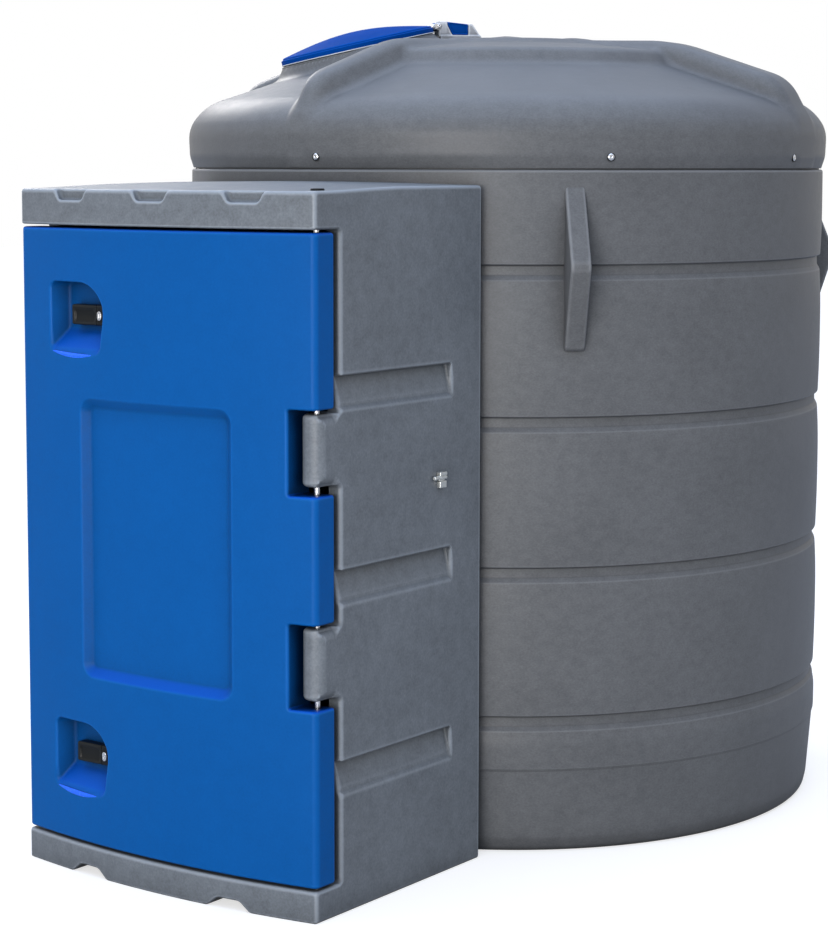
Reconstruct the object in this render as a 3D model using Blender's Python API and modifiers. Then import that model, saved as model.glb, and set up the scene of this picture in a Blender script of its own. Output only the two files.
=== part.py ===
"""Diesel exhaust fluid tank: a round upright tank with a domed cover and a hinged filling
hatch, and a dispensing cabinet with a hinged door standing in front of it.

Metres, +Z up. The origin is on the ground on the tank's axis, the cabinet door faces -Y.
"""

import math

import bmesh
import bpy
from mathutils import Matrix, Vector

# Clearances
SEAT = 0.0003
LID_SEAT = 0.0005
ROD_SEAT = 0.0003
PIN_PLAY = 0.0006
DOOR_PLAY = 0.0004
CUT_PAST = 0.02

# Tank shell
FACETS = 48
TANK_R = 0.825
TANK_WALL = 0.012
TANK_SHOULDER_Z = 1.6087
SPIGOT_R = 0.8150
SPIGOT_TOP_Z = 1.655
FLOOR_R = 0.763
FOOT_TAPER_Z = 0.22
FOOT_TAPER = 0.016
FOOT_ROUND_R = 0.045
GROOVE_TOP_Z = 1.391
GROOVE_STEP = 0.3535
GROOVES = 4
GROOVE_DEPTH = 0.012
GROOVE_LIP = 0.003
GROOVE_RUN = 0.037

# Lifting lugs
LUG_AZIMUTHS = {"front_right": 45, "back_right": 135, "back_left": 225, "front_left": 315}
LUG_WIDTH = 0.048
LUG_REACH = 0.074
LUG_TOP_Z = 1.577
LUG_TIP_Z = 1.387
LUG_LOW_Z = 1.190
LUG_ROOT = 0.004
LUG_TIP_ROUND = 0.016
LUG_FOOT_REACH = 0.014

# Cover
COVER_BOTTOM_Z = TANK_SHOULDER_Z + SEAT
COVER_R = 0.8325
COVER_WALL = 0.012
COVER_EDGE = 0.010
SHOULDER_BEND_Z = 1.706
SHOULDER = (0.800, 1.767)
PLATEAU_FOOT = (0.500, 1.867)
PLATEAU_EDGE = (0.472, 1.905)
CAP_FOOT = (0.250, 1.929)
CAP_R = 0.235
CAP_Z = 1.948
CAP_BEVEL = 0.0045
PLATEAU_EDGE_BEND = 0.012
PLATEAU_FOOT_BEND = 0.020
SHOULDER_BEND = 0.030
RIM_BEND = 0.070
INSIDE_TOP_Z = 1.887
INSIDE_BEND = (0.440, 1.869)
INSIDE_RIM_Z = 1.686
SKIRT_TOP_Z = 1.684
CROWN_R = 0.486
RIB_MIDDLE_AZIMUTH = 46.7
RIB_SPREAD = 51.2
RIB_AZIMUTHS = {
    "front": RIB_MIDDLE_AZIMUTH - RIB_SPREAD,
    "right": RIB_MIDDLE_AZIMUTH + RIB_SPREAD,
    "back": RIB_MIDDLE_AZIMUTH - RIB_SPREAD + 180,
    "left": RIB_MIDDLE_AZIMUTH + RIB_SPREAD + 180,
}
RIB_TOP_HALF = 0.046
RIB_FOOT_HALF = 0.088
RIB_HEIGHT = 0.056
RIB_SINK = 0.020
RIB_TOP_LINE = [(0.262, 1.9295), (0.360, 1.932), (0.440, 1.931), (0.500, 1.923), (0.600, 1.890),
                (0.700, 1.857), (0.775, 1.832), (0.805, 1.800), (0.829, 1.732)]

# Filling hatch
HATCH_AZIMUTH = -43.2
HATCH_RADIUS = 0.396
HATCH_TILT = 12.8
HATCH_Z = 1.921
COLLAR_TOP_R = 0.198
COLLAR_FOOT_R = 0.248
COLLAR_DEPTH = 0.085
COLLAR_SEAT = 0.0006
NECK_R = 0.170
NECK_HOLE_R = 0.205
NECK_FACETS = 40
LID_R = 0.202
LID_SKIRT = 0.012
LID_CROWN = 0.045
LID_WALL = 0.006
LID_FACETS = 40
LID_EDGE_SHARE = 0.97
LID_CROWN_STEPS = 7
LID_TONGUE_Z = (0.002, 0.0125)
LID_TONGUE_SINK = 0.020
PIN_OUT = 0.216
PIN_UP = 0.010
PIN_R = 0.005
PIN_LENGTH = 0.076
KNUCKLE_R = 0.010
KNUCKLE_WIDTH = 0.042
EAR_INNER = 0.0235
EAR_OUTER = 0.0315
EAR_R = 0.012
BRACKET_BASE = 0.008
BRACKET_STEP = 0.001
BRACKET_TOP_Z = 1.990
BRACKET_NEAR = 0.074
BRACKET_END = (0.082, 0.100)
BRACKET_POST = (0.150, 0.162)
BRACKET_EAR_FROM = 0.156
BRACKET_EAR_TOP = 0.170
INSERT_GAP = 0.0003

# Cabinet
CAB_HALF = 0.430
CAB_FRONT_Y = -1.351
CAB_BOW = 0.041
CAB_BACK_Y = -0.737
CAB_TOP_Z = 1.565
CAB_WALL = 0.035
CAB_BACK_WALL = 0.016
CAB_CORNER_R = 0.014
LIP_BOTTOM_Z = 1.484
PLINTH_TOP_Z = 0.070
BOW_STEPS = 20
WALL_FRONT_Y = -1.266
SIDE_GROOVES = {"upper": (1.104, 1.174), "middle": (0.684, 0.755), "lower": (0.268, 0.338)}
SIDE_GROOVE_END_Y = -0.858
SIDE_GROOVE_DEPTH = 0.020
SIDE_GROOVE_LOW_DEPTH = 0.006
LIP_NOTCH_CENTRES = (-0.250, 0.0, 0.254)
LIP_NOTCH_TOP = 0.106
LIP_NOTCH_LOW = 0.076
LIP_NOTCH_HEIGHT = 0.025
LIP_NOTCH_DEPTH = 0.016
FOOT_NOTCH_CENTRES = (-0.210, 0.205)
FOOT_NOTCH_TOP = 0.058
FOOT_NOTCH_LOW = 0.112
FOOT_NOTCH_HEIGHT = 0.022
FOOT_NOTCH_DEPTH = 0.090

# Door and its rod
DOOR_BOTTOM_Z = 0.079
DOOR_TOP_Z = 1.476
DOOR_BACK_Y = -1.285
DOOR_CORNER_R = 0.012
ROD_X = 0.400
ROD_Y = -1.310
ROD_R = 0.0065
ROD_SINK = 0.015
ROD_FACETS = 16
BARREL_R = 0.030
BARRELS = {"upper": (0.940, 1.095), "lower": (0.480, 0.636)}
BARREL_GAP_SIDE = 0.008
BARREL_GAP_TOP = 0.010
BARREL_GAP_LOW = 0.018
PANEL_HALF = 0.222
PANEL_Z = (0.463, 1.098)
PANEL_CORNER_R = 0.034
PANEL_DEPTH = 0.016
CUP_X = (-0.322, -0.140)
CUPS = {"upper": (1.196, 1.357), "lower": (0.190, 0.353)}
CUP_CORNER_R = 0.018
CUP_SWEEP_R = 0.085
CUP_FLOOR_Y = -1.338
LATCH_X = (-0.264, -0.164)
LATCH_HEIGHT = 0.046
LATCH_BELOW_TOP = 0.049
LATCH_THICKNESS = 0.022
CUP_SWEEP_LOW = 0.055
CUP_SLOPE = 0.020

# Side fitting
FITTING_Y = -0.901
FITTING_Z = 0.913
FITTING_SIZE = (0.012, 0.026, 0.038)
FITTING_STEP = (0.005, 0.003)
FITTING_TOP_SHARE = 0.7


def clear_scene():
    for obj in list(bpy.data.objects):
        bpy.data.objects.remove(obj, do_unlink=True)


def new_collection(name):
    made = bpy.data.collections.new(name)
    bpy.context.scene.collection.children.link(made)
    return made


clear_scene()
PARTS = new_collection("exhaust_fluid_tank")
CUTTERS = new_collection("cutters")


def make_material(name, color, roughness, metallic):
    made = bpy.data.materials.new(name)
    made.use_nodes = True
    shader = made.node_tree.nodes["Principled BSDF"]
    shader.inputs["Base Color"].default_value = (*color, 1.0)
    shader.inputs["Roughness"].default_value = roughness
    shader.inputs["Metallic"].default_value = metallic
    made.diffuse_color = (*color, 1.0)
    return made


TANK_GREY = make_material("tank_grey_plastic", (0.118, 0.130, 0.152), 0.62, 0.0)
CABINET_GREY = make_material("cabinet_grey_plastic", (0.128, 0.148, 0.172), 0.60, 0.0)
BLUE = make_material("blue_plastic", (0.005, 0.105, 0.425), 0.42, 0.0)
STEEL = make_material("bright_steel", (0.62, 0.63, 0.65), 0.28, 1.0)
BLACK = make_material("black_latch_plastic", (0.012, 0.012, 0.013), 0.35, 0.0)
ZINC = make_material("pale_zinc", (0.60, 0.62, 0.60), 0.40, 1.0)


def fillet(corners, radii, steps=4):
    """Corner points, each rounded by an arc of its own radius; 0 keeps a corner sharp."""
    made = []
    count = len(corners)
    for i, corner in enumerate(corners):
        here = Vector(corner)
        radius = radii[i]
        before = (Vector(corners[i - 1]) - here).normalized()
        after = (Vector(corners[(i + 1) % count]) - here).normalized()
        opening = before.angle(after)
        if radius == 0:
            made.append(tuple(here))
            continue
        run = radius / math.tan(opening / 2)
        middle = here + (before + after).normalized() * radius / math.sin(opening / 2)
        first = (here + before * run - middle).normalized()
        last = (here + after * run - middle).normalized()
        for step in range(steps + 1):
            made.append(tuple(middle + first.slerp(last, step / steps) * radius))
    return made


def link_mesh(name, mesh, material, collection):
    obj = bpy.data.objects.new(name, mesh)
    collection.objects.link(obj)
    if material is not None:
        mesh.materials.clear()
        mesh.materials.append(material)
    if collection == CUTTERS:
        obj.hide_render = True
        obj.display_type = "WIRE"
    return obj


def mesh_from_bmesh(name, bm):
    mesh = bpy.data.meshes.new(name)
    bmesh.ops.recalc_face_normals(bm, faces=bm.faces)
    bm.to_mesh(mesh)
    bm.free()
    return mesh


def turned(name, profile, material=None, collection=PARTS, closed=False, facets=FACETS):
    """A profile of (radius, height) points, top to bottom on its outer side, turned about Z."""
    mesh = bpy.data.meshes.new(name)
    count = len(profile)
    edges = [(i, i + 1) for i in range(count - 1)]
    if closed:
        edges.append((count - 1, 0))
    mesh.from_pydata([(r, 0.0, z) for r, z in profile], edges, [])
    obj = link_mesh(name, mesh, material, collection)
    screw = obj.modifiers.new("turn", "SCREW")
    screw.axis = "Z"
    screw.steps = facets
    screw.render_steps = facets
    screw.use_merge_vertices = True
    screw.merge_threshold = 0.0001
    return obj


def box(name, low, high, material=None, collection=PARTS):
    bm = bmesh.new()
    bmesh.ops.create_cube(bm, size=1.0)
    size = Vector(high) - Vector(low)
    middle = (Vector(high) + Vector(low)) / 2
    bmesh.ops.scale(bm, vec=size, verts=bm.verts)
    bmesh.ops.translate(bm, vec=middle, verts=bm.verts)
    return link_mesh(name, mesh_from_bmesh(name, bm), material, collection)


def cone(name, low_r, high_r, depth, matrix, facets, material=None, collection=PARTS):
    """A round bar or cone, centred on the matrix and along its own Z."""
    bm = bmesh.new()
    bmesh.ops.create_cone(bm, cap_ends=True, segments=facets, radius1=low_r, radius2=high_r,
                          depth=depth, matrix=matrix)
    return link_mesh(name, mesh_from_bmesh(name, bm), material, collection)


def prism(name, outline, thickness, matrix, material=None, collection=PARTS):
    """A flat outline, thickened upward from its plane, then placed by the matrix."""
    curve = bpy.data.curves.new(name, "CURVE")
    curve.dimensions = "2D"
    curve.fill_mode = "BOTH"
    curve.extrude = thickness / 2
    spline = curve.splines.new("POLY")
    spline.points.add(len(outline) - 1)
    for point, (x, y) in zip(spline.points, outline):
        point.co = (x, y, 0.0, 1.0)
    spline.use_cyclic_u = True
    holder = bpy.data.objects.new(name + "_outline", curve)
    CUTTERS.objects.link(holder)
    depsgraph = bpy.context.evaluated_depsgraph_get()
    mesh = bpy.data.meshes.new_from_object(holder.evaluated_get(depsgraph))
    bpy.data.objects.remove(holder, do_unlink=True)
    bm = bmesh.new()
    bm.from_mesh(mesh)
    bmesh.ops.remove_doubles(bm, verts=bm.verts, dist=0.00001)
    lift = Matrix.Translation((0, 0, thickness / 2))
    bmesh.ops.transform(bm, matrix=matrix @ lift, verts=bm.verts)
    return link_mesh(name, mesh_from_bmesh(name, bm), material, collection)


def boolean(obj, tool, operation):
    modifier = obj.modifiers.new(operation.lower() + "_" + tool.name, "BOOLEAN")
    modifier.operation = operation
    modifier.solver = "EXACT"
    modifier.object = tool
    return obj


def cut(obj, tool):
    return boolean(obj, tool, "DIFFERENCE")


def join(obj, tool):
    return boolean(obj, tool, "UNION")


def radial(azimuth):
    """Outward direction at an azimuth in degrees from the front, towards +X."""
    a = math.radians(azimuth)
    return Vector((math.sin(a), -math.cos(a), 0.0))


def frame_at(origin, x_axis, y_axis):
    """A matrix with the given origin and first two axes."""
    z_axis = x_axis.cross(y_axis)
    columns = Matrix((x_axis, y_axis, z_axis)).transposed().to_4x4()
    return Matrix.Translation(origin) @ columns


UP = Vector((0, 0, 1))


# Tank shell
def groove_points(z):
    """The outline of one ring groove, going down: sharp lip above, long slope below."""
    return [
        (TANK_R, z),
        (TANK_R - GROOVE_DEPTH, z - GROOVE_LIP),
        (TANK_R, z - GROOVE_LIP - GROOVE_RUN),
    ]


def tank_wall():
    outer = [(SPIGOT_R, SPIGOT_TOP_Z), (SPIGOT_R, TANK_SHOULDER_Z), (TANK_R, TANK_SHOULDER_Z)]
    for i in range(GROOVES):
        outer += groove_points(GROOVE_TOP_Z - i * GROOVE_STEP)
    outer.append((TANK_R, FOOT_TAPER_Z))
    foot_r = TANK_R - FOOT_TAPER
    centre = (foot_r - FOOT_ROUND_R, FOOT_ROUND_R)
    for step in range(5):
        turn = math.radians(90 * step / 4)
        outer.append((centre[0] + FOOT_ROUND_R * math.cos(turn),
                      centre[1] - FOOT_ROUND_R * math.sin(turn)))
    inner_r = TANK_R - GROOVE_DEPTH - TANK_WALL
    inner = [(FLOOR_R, 0.0), (FLOOR_R, TANK_WALL), (inner_r, FOOT_ROUND_R),
             (inner_r, TANK_SHOULDER_Z - TANK_WALL), (SPIGOT_R - TANK_WALL, TANK_SHOULDER_Z),
             (SPIGOT_R - TANK_WALL, SPIGOT_TOP_Z)]
    return turned("tank_wall", outer + inner, TANK_GREY, closed=True)


def tank_floor():
    edge = FLOOR_R - SEAT
    profile = [(0.0, TANK_WALL), (edge, TANK_WALL), (edge, 0.0), (0.0, 0.0)]
    return turned("tank_floor", profile, TANK_GREY)


def lug_outline():
    """Side outline of a lifting lug in (radius, height)."""
    tip = TANK_R + LUG_REACH
    root = TANK_R - LUG_ROOT
    return [(root, LUG_LOW_Z), (TANK_R + LUG_FOOT_REACH, LUG_LOW_Z + LUG_ROOT),
            (tip - LUG_ROOT, LUG_TIP_Z - LUG_TIP_ROUND), (tip, LUG_TIP_Z),
            (tip - LUG_ROOT, LUG_TIP_Z + LUG_TIP_ROUND), (root, LUG_TOP_Z)]


def lifting_lugs():
    top = LUG_TOP_Z + CUT_PAST
    low = LUG_LOW_Z - CUT_PAST
    seat = turned("lug_seat_cutter", [(0.0, top), (TANK_R + SEAT, top), (TANK_R + SEAT, low),
                                      (0.0, low)], collection=CUTTERS)
    for side, azimuth in LUG_AZIMUTHS.items():
        out = radial(azimuth)
        across = out.cross(UP)
        place = frame_at(across * (-LUG_WIDTH / 2), out, UP)
        lug = prism("lifting_lug_" + side, lug_outline(), LUG_WIDTH, place, TANK_GREY)
        cut(lug, seat)


# Cover
def cover_outline(grow=0.0):
    """Outer outline of the cover from its middle to its lower edge, grown outwards if asked."""
    corners = [(CAP_R - CAP_BEVEL, CAP_Z), (CAP_R, CAP_Z - CAP_BEVEL), CAP_FOOT, PLATEAU_EDGE,
               PLATEAU_FOOT, SHOULDER, (COVER_R, SHOULDER_BEND_Z),
               (COVER_R, COVER_BOTTOM_Z + COVER_EDGE), (COVER_R - COVER_EDGE, COVER_BOTTOM_Z)]
    bends = [0, 0, 0, PLATEAU_EDGE_BEND, PLATEAU_FOOT_BEND, SHOULDER_BEND, RIM_BEND, 0, 0]
    outline = [(0.0, CAP_Z)] + fillet(corners, bends, 3)
    return [(r + grow if r > 0 else r, z + grow) for r, z in outline]


def cover_height(radius):
    """Height of the cover's plain surface at a radius, without its bends."""
    line = [(0.0, CAP_Z), (CAP_R, CAP_Z), CAP_FOOT, PLATEAU_EDGE, PLATEAU_FOOT, SHOULDER,
            (COVER_R, SHOULDER_BEND_Z)]
    for (near, high), (far, low) in zip(line, line[1:]):
        if radius <= far:
            return high + (low - high) * (radius - near) / (far - near)
    return SHOULDER_BEND_Z


def cover_body(name, grow):
    """The cover's outer shape as one solid, used to seat what stands on the cover."""
    outline = cover_outline(grow)
    outline.append((0.0, outline[-1][1]))
    return turned(name, outline, collection=CUTTERS)


def rib(side, azimuth, seats):
    """One raised rib: trapezoid sections lofted from the cap out to the rim, on the cover."""
    out = radial(azimuth)
    across = UP.cross(out)
    flare = (RIB_FOOT_HALF - RIB_TOP_HALF) / RIB_HEIGHT
    bm = bmesh.new()
    rings = []
    for radius, top in RIB_TOP_LINE:
        foot = cover_height(radius) - RIB_SINK
        foot_half = RIB_TOP_HALF + flare * (top - foot)
        ring = []
        for shift, height in ((-foot_half, foot), (-RIB_TOP_HALF, top), (RIB_TOP_HALF, top),
                              (foot_half, foot)):
            ring.append(bm.verts.new(out * radius + across * shift + UP * height))
        rings.append(ring)
    for near, far in zip(rings, rings[1:]):
        for i in range(4):
            j = (i + 1) % 4
            bm.faces.new((near[i], near[j], far[j], far[i]))
    bm.faces.new(rings[0])
    bm.faces.new(rings[-1])
    name = "cover_rib_" + side
    made = link_mesh(name, mesh_from_bmesh(name, bm), TANK_GREY, PARTS)
    for seat in seats:
        cut(made, seat)


HATCH_OUT = radial(HATCH_AZIMUTH)
HATCH_ACROSS = UP.cross(HATCH_OUT)
TILT = math.radians(HATCH_TILT)
HATCH_NORMAL = HATCH_OUT * math.sin(TILT) + UP * math.cos(TILT)
HATCH_DOWN = HATCH_OUT * math.cos(TILT) - UP * math.sin(TILT)
HATCH_CENTRE = HATCH_OUT * HATCH_RADIUS + UP * HATCH_Z
HATCH_FRAME = frame_at(HATCH_CENTRE, HATCH_DOWN, HATCH_ACROSS)
PIN_CENTRE = HATCH_CENTRE - HATCH_DOWN * PIN_OUT + HATCH_NORMAL * PIN_UP


def collar_shape(name, grow, material=None, collection=CUTTERS):
    """The flared collar below the lid, as a full cone frustum."""
    sunk = HATCH_FRAME @ Matrix.Translation((0, 0, -LID_SEAT - COLLAR_DEPTH / 2))
    return cone(name, COLLAR_FOOT_R + grow, COLLAR_TOP_R + grow, COLLAR_DEPTH, sunk, NECK_FACETS,
                material, collection)


def neck_shape(name, radius):
    """A bar along the hatch's axis, through the cover."""
    return cone(name, radius, radius, 2 * NECK_R, HATCH_FRAME, NECK_FACETS, collection=CUTTERS)


def drum_shape(name, radius, low, high):
    """A round block on the tank's axis, between two heights."""
    return turned(name, [(0.0, high), (radius, high), (radius, low), (0.0, low)],
                  collection=CUTTERS)


def tank_cover():
    """The cover: a skirt round the rim, the sloping ring above it and the crown in the middle."""
    inner_r = SPIGOT_R + SEAT
    field = SHOULDER[0] - COVER_WALL
    low = COVER_BOTTOM_Z - CUT_PAST
    inside = turned("cover_inside_cutter",
                    [(0.0, INSIDE_TOP_Z), INSIDE_BEND,
                     (field, cover_height(field) - COVER_WALL), (inner_r, INSIDE_RIM_Z),
                     (inner_r, low), (0.0, low)], collection=CUTTERS)
    hole = neck_shape("neck_hole_cutter", NECK_HOLE_R)
    whole = cover_outline() + [(0.0, COVER_BOTTOM_Z)]
    cover = turned("tank_cover", whole, TANK_GREY)
    cut(cover, drum_shape("cover_skirt_seat", COVER_R + CUT_PAST, low, SKIRT_TOP_Z + SEAT))
    cut(cover, drum_shape("cover_crown_seat", CROWN_R + SEAT, low, CAP_Z + CUT_PAST))
    crown = turned("cover_crown", whole, TANK_GREY)
    boolean(crown, drum_shape("cover_crown_shape", CROWN_R, low, CAP_Z + CUT_PAST), "INTERSECT")
    for shell in (cover, crown):
        cut(shell, inside)
        cut(shell, hole)
    turned("cover_skirt", [(inner_r, SKIRT_TOP_Z), (COVER_R, SKIRT_TOP_Z),
                           (COVER_R, COVER_BOTTOM_Z + COVER_EDGE),
                           (COVER_R - COVER_EDGE, COVER_BOTTOM_Z), (inner_r, COVER_BOTTOM_Z)],
           TANK_GREY, closed=True)

    under_collar = cover_body("under_collar_cutter", SEAT)
    cut(under_collar, neck_shape("neck_sleeve_shape", NECK_HOLE_R - COLLAR_SEAT))
    collar = collar_shape("hatch_collar", 0.0, TANK_GREY, PARTS)
    cut(collar, under_collar)
    cut(collar, inside)
    cut(collar, neck_shape("neck_cutter", NECK_R))

    seat = cover_body("cover_seat", SEAT)
    around = collar_shape("collar_seat", COLLAR_SEAT)
    for side, azimuth in RIB_AZIMUTHS.items():
        rib(side, azimuth, (seat, around))


# Filling hatch
def place_empty(name, matrix):
    holder = bpy.data.objects.new(name, None)
    holder.empty_display_size = 0.1
    PARTS.objects.link(holder)
    holder.matrix_world = matrix
    return holder


def lid_outline():
    """Outline of the crowned lid in (radius, height over the collar), top then inside."""
    rise = LID_CROWN - LID_SKIRT
    outer = []
    for step in range(LID_CROWN_STEPS + 1):
        radius = LID_R * LID_EDGE_SHARE * step / LID_CROWN_STEPS
        outer.append((radius, LID_SKIRT + rise * math.cos(math.pi / 2 * radius / LID_R)))
    outer += [(LID_R, LID_SKIRT), (LID_R, 0.0)]
    inner = [(LID_R - 2 * LID_WALL, 0.0), (LID_R - 2 * LID_WALL, LID_SKIRT - LID_WALL / 2),
             (LID_R / 2, LID_SKIRT + rise / 2), (0.0, LID_CROWN - LID_WALL)]
    return outer + inner


def hatch_lid():
    axis = place_empty("hatch_hinge", Matrix.Translation(PIN_CENTRE))
    lid = turned("hatch_lid", lid_outline(), BLUE, facets=LID_FACETS)
    knuckle_place = frame_at(Vector((-PIN_OUT, 0, PIN_UP)), Vector((1, 0, 0)), Vector((0, 0, 1)))
    knuckle = cone("lid_knuckle_shape", KNUCKLE_R, KNUCKLE_R, KNUCKLE_WIDTH, knuckle_place,
                   ROD_FACETS, collection=CUTTERS)
    tongue = box("lid_tongue_shape", (-PIN_OUT, -KNUCKLE_WIDTH / 2, LID_TONGUE_Z[0]),
                 (-LID_R + LID_TONGUE_SINK, KNUCKLE_WIDTH / 2, LID_TONGUE_Z[1]),
                 collection=CUTTERS)
    bore = cone("lid_bore_cutter", PIN_R + PIN_PLAY, PIN_R + PIN_PLAY, PIN_LENGTH, knuckle_place,
                ROD_FACETS, collection=CUTTERS)
    join(lid, knuckle)
    join(lid, tongue)
    cut(lid, bore)
    for obj in (lid, knuckle, tongue, bore):
        obj.parent = axis
        obj.matrix_parent_inverse = axis.matrix_world.inverted()
        obj.matrix_world = HATCH_FRAME


def bracket_box(name, near, far, half, low, high, material=None, collection=CUTTERS):
    """A block on the cap, between two distances from the tank's axis on the hatch's line."""
    frame = frame_at(Vector((0, 0, 0)), HATCH_OUT, HATCH_ACROSS)
    block = box(name, (near, -half, low), (far, half, high), material, collection)
    block.matrix_world = frame
    return block


def bracket_ear(side, pin_r, pin_z, low):
    """An ear round the pin, in (height, distance from the tank's axis)."""
    start = HATCH_ACROSS * (EAR_INNER if side > 0 else -EAR_OUTER)
    outline = [(low, BRACKET_EAR_FROM), (low, pin_r - EAR_R / 2)]
    for step in range(9):
        turn = math.radians(180 - 22.5 * step)
        outline.append((pin_z + EAR_R * math.cos(turn), pin_r + EAR_R * math.sin(turn)))
    outline += [(BRACKET_TOP_Z, BRACKET_EAR_TOP), (BRACKET_TOP_Z, BRACKET_EAR_FROM)]
    return prism(f"bracket_ear_{side + 2}", outline, EAR_OUTER - EAR_INNER,
                 frame_at(start, UP, HATCH_OUT), collection=CUTTERS)


def hatch_bracket():
    pin_r = PIN_CENTRE.dot(HATCH_OUT)
    pin_z = PIN_CENTRE.z
    low = CAP_Z + SEAT
    foot_top = CAP_Z + BRACKET_BASE
    inside = low + BRACKET_BASE / 4
    bracket = bracket_box("hatch_bracket", BRACKET_NEAR, pin_r - PIN_R,
                          EAR_OUTER + 2 * BRACKET_STEP, low, foot_top, TANK_GREY, PARTS)
    post = bracket_box("bracket_post", *BRACKET_POST, EAR_OUTER - BRACKET_STEP, inside,
                       BRACKET_TOP_Z - BRACKET_STEP)
    end = bracket_box("bracket_end", *BRACKET_END, EAR_OUTER - 4 * BRACKET_STEP, inside,
                      BRACKET_TOP_Z - 4 * BRACKET_STEP)
    join(bracket, post)
    join(bracket, end)
    for side in (-1, 1):
        join(bracket, bracket_ear(side, pin_r, pin_z, inside))
    pin_place = frame_at(PIN_CENTRE, HATCH_OUT, UP)
    bore = cone("bracket_bore_cutter", PIN_R + ROD_SEAT, PIN_R + ROD_SEAT, 2 * PIN_LENGTH,
                pin_place, ROD_FACETS, collection=CUTTERS)
    cut(bracket, bore)
    cone("hatch_pin", PIN_R, PIN_R, PIN_LENGTH, pin_place, ROD_FACETS, STEEL)
    bracket_box("hatch_bracket_insert", BRACKET_END[1] + INSERT_GAP, BRACKET_POST[0] - INSERT_GAP,
                EAR_OUTER - 5 * BRACKET_STEP, foot_top + SEAT, BRACKET_TOP_Z, BLUE, PARTS)


# Cabinet
def bow_arc(inset=0.0, half=CAB_HALF):
    """Points of the bowed front in plan, left to right; inset moves them towards the tank."""
    radius = (CAB_HALF ** 2 + CAB_BOW ** 2) / (2 * CAB_BOW)
    centre_y = CAB_FRONT_Y - CAB_BOW + radius
    points = []
    for step in range(BOW_STEPS + 1):
        x = -half + 2 * half * step / BOW_STEPS
        points.append((x, centre_y - math.sqrt((radius - inset) ** 2 - x * x)))
    return points


def back_arc(inset=0.0, half=CAB_HALF):
    """Points of the hollow back in plan, right to left, close to the tank in the middle."""
    nearest = TANK_R + SEAT
    sagitta = nearest + CAB_BACK_Y
    radius = (CAB_HALF ** 2 + sagitta ** 2) / (2 * sagitta)
    centre_y = radius - nearest
    points = []
    for step in range(BOW_STEPS + 1):
        x = half - 2 * half * step / BOW_STEPS
        points.append((x, centre_y - math.sqrt((radius + inset) ** 2 - x * x)))
    return points


def cabinet_plan():
    """Plan outline of the plinth and of the roof, with rounded front corners."""
    front = bow_arc()
    back = back_arc()
    corners = front + back
    radii = [0.0] * len(corners)
    radii[0] = CAB_CORNER_R
    radii[len(front) - 1] = CAB_CORNER_R
    return fillet(corners, radii, 4)


def notch_tool(name, centre, low_width, high_width, low_z, high_z, depth):
    """A cutter for a trapezoid notch through the bowed front face."""
    corners = [(centre - low_width / 2, low_z), (centre + low_width / 2, low_z),
               (centre + high_width / 2, high_z), (centre - high_width / 2, high_z)]
    face = min(y for x, y in bow_arc() if abs(x - centre) <= max(low_width, high_width) / 2)
    place = frame_at(Vector((0, face + depth, 0)), Vector((1, 0, 0)), UP)
    return prism(name, corners, depth + CUT_PAST, place, collection=CUTTERS)


def rod_tool(name, radius, low, high):
    place = Matrix.Translation((ROD_X, ROD_Y, (low + high) / 2))
    return cone(name, radius, radius, high - low, place, ROD_FACETS, collection=CUTTERS)


def cabinet_roof():
    low = LIP_BOTTOM_Z
    roof = prism("cabinet_roof", cabinet_plan(), CAB_TOP_Z - low, Matrix.Translation((0, 0, low)),
                 CABINET_GREY)
    for i, centre in enumerate(LIP_NOTCH_CENTRES):
        cut(roof, notch_tool(f"lip_notch_{i + 1}", centre, LIP_NOTCH_LOW, LIP_NOTCH_TOP,
                             CAB_TOP_Z - LIP_NOTCH_HEIGHT, CAB_TOP_Z + 0.0001, LIP_NOTCH_DEPTH))
    cut(roof, rod_tool("roof_rod_cutter", ROD_R + ROD_SEAT, low - CUT_PAST, low + ROD_SINK + SEAT))


def cabinet_plinth():
    plinth = prism("cabinet_plinth", cabinet_plan(), PLINTH_TOP_Z, Matrix.Identity(4), CABINET_GREY)
    for i, centre in enumerate(FOOT_NOTCH_CENTRES):
        cut(plinth, notch_tool(f"foot_notch_{i + 1}", centre, FOOT_NOTCH_LOW, FOOT_NOTCH_TOP,
                               -0.0001, FOOT_NOTCH_HEIGHT, FOOT_NOTCH_DEPTH))
    cut(plinth, rod_tool("plinth_rod_cutter", ROD_R + ROD_SEAT, PLINTH_TOP_Z - ROD_SINK - SEAT,
                         PLINTH_TOP_Z + CUT_PAST))


def side_groove(name, sign, bottom, top):
    """A cutter for a groove whose floor slopes out from its top edge to its bottom edge."""
    section = [(CAB_HALF + CUT_PAST, bottom), (CAB_HALF - SIDE_GROOVE_LOW_DEPTH, bottom),
               (CAB_HALF - SIDE_GROOVE_DEPTH, top), (CAB_HALF + CUT_PAST, top)]
    front = WALL_FRONT_Y - CUT_PAST
    start = SIDE_GROOVE_END_Y if sign > 0 else front
    place = frame_at(Vector((0, start, 0)), Vector((sign, 0, 0)), UP)
    return prism(name, section, SIDE_GROOVE_END_Y - front, place, collection=CUTTERS)


def cabinet_side(side, sign):
    low = PLINTH_TOP_Z + SEAT
    high = LIP_BOTTOM_Z - SEAT
    inner = sign * (CAB_HALF - CAB_WALL)
    outer = sign * CAB_HALF
    wall = box(f"cabinet_{side}_wall", (min(inner, outer), WALL_FRONT_Y, low),
               (max(inner, outer), CAB_BACK_Y, high), CABINET_GREY)
    for name, (bottom, top) in SIDE_GROOVES.items():
        cut(wall, side_groove(f"{side}_{name}_groove", sign, bottom, top))


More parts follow.
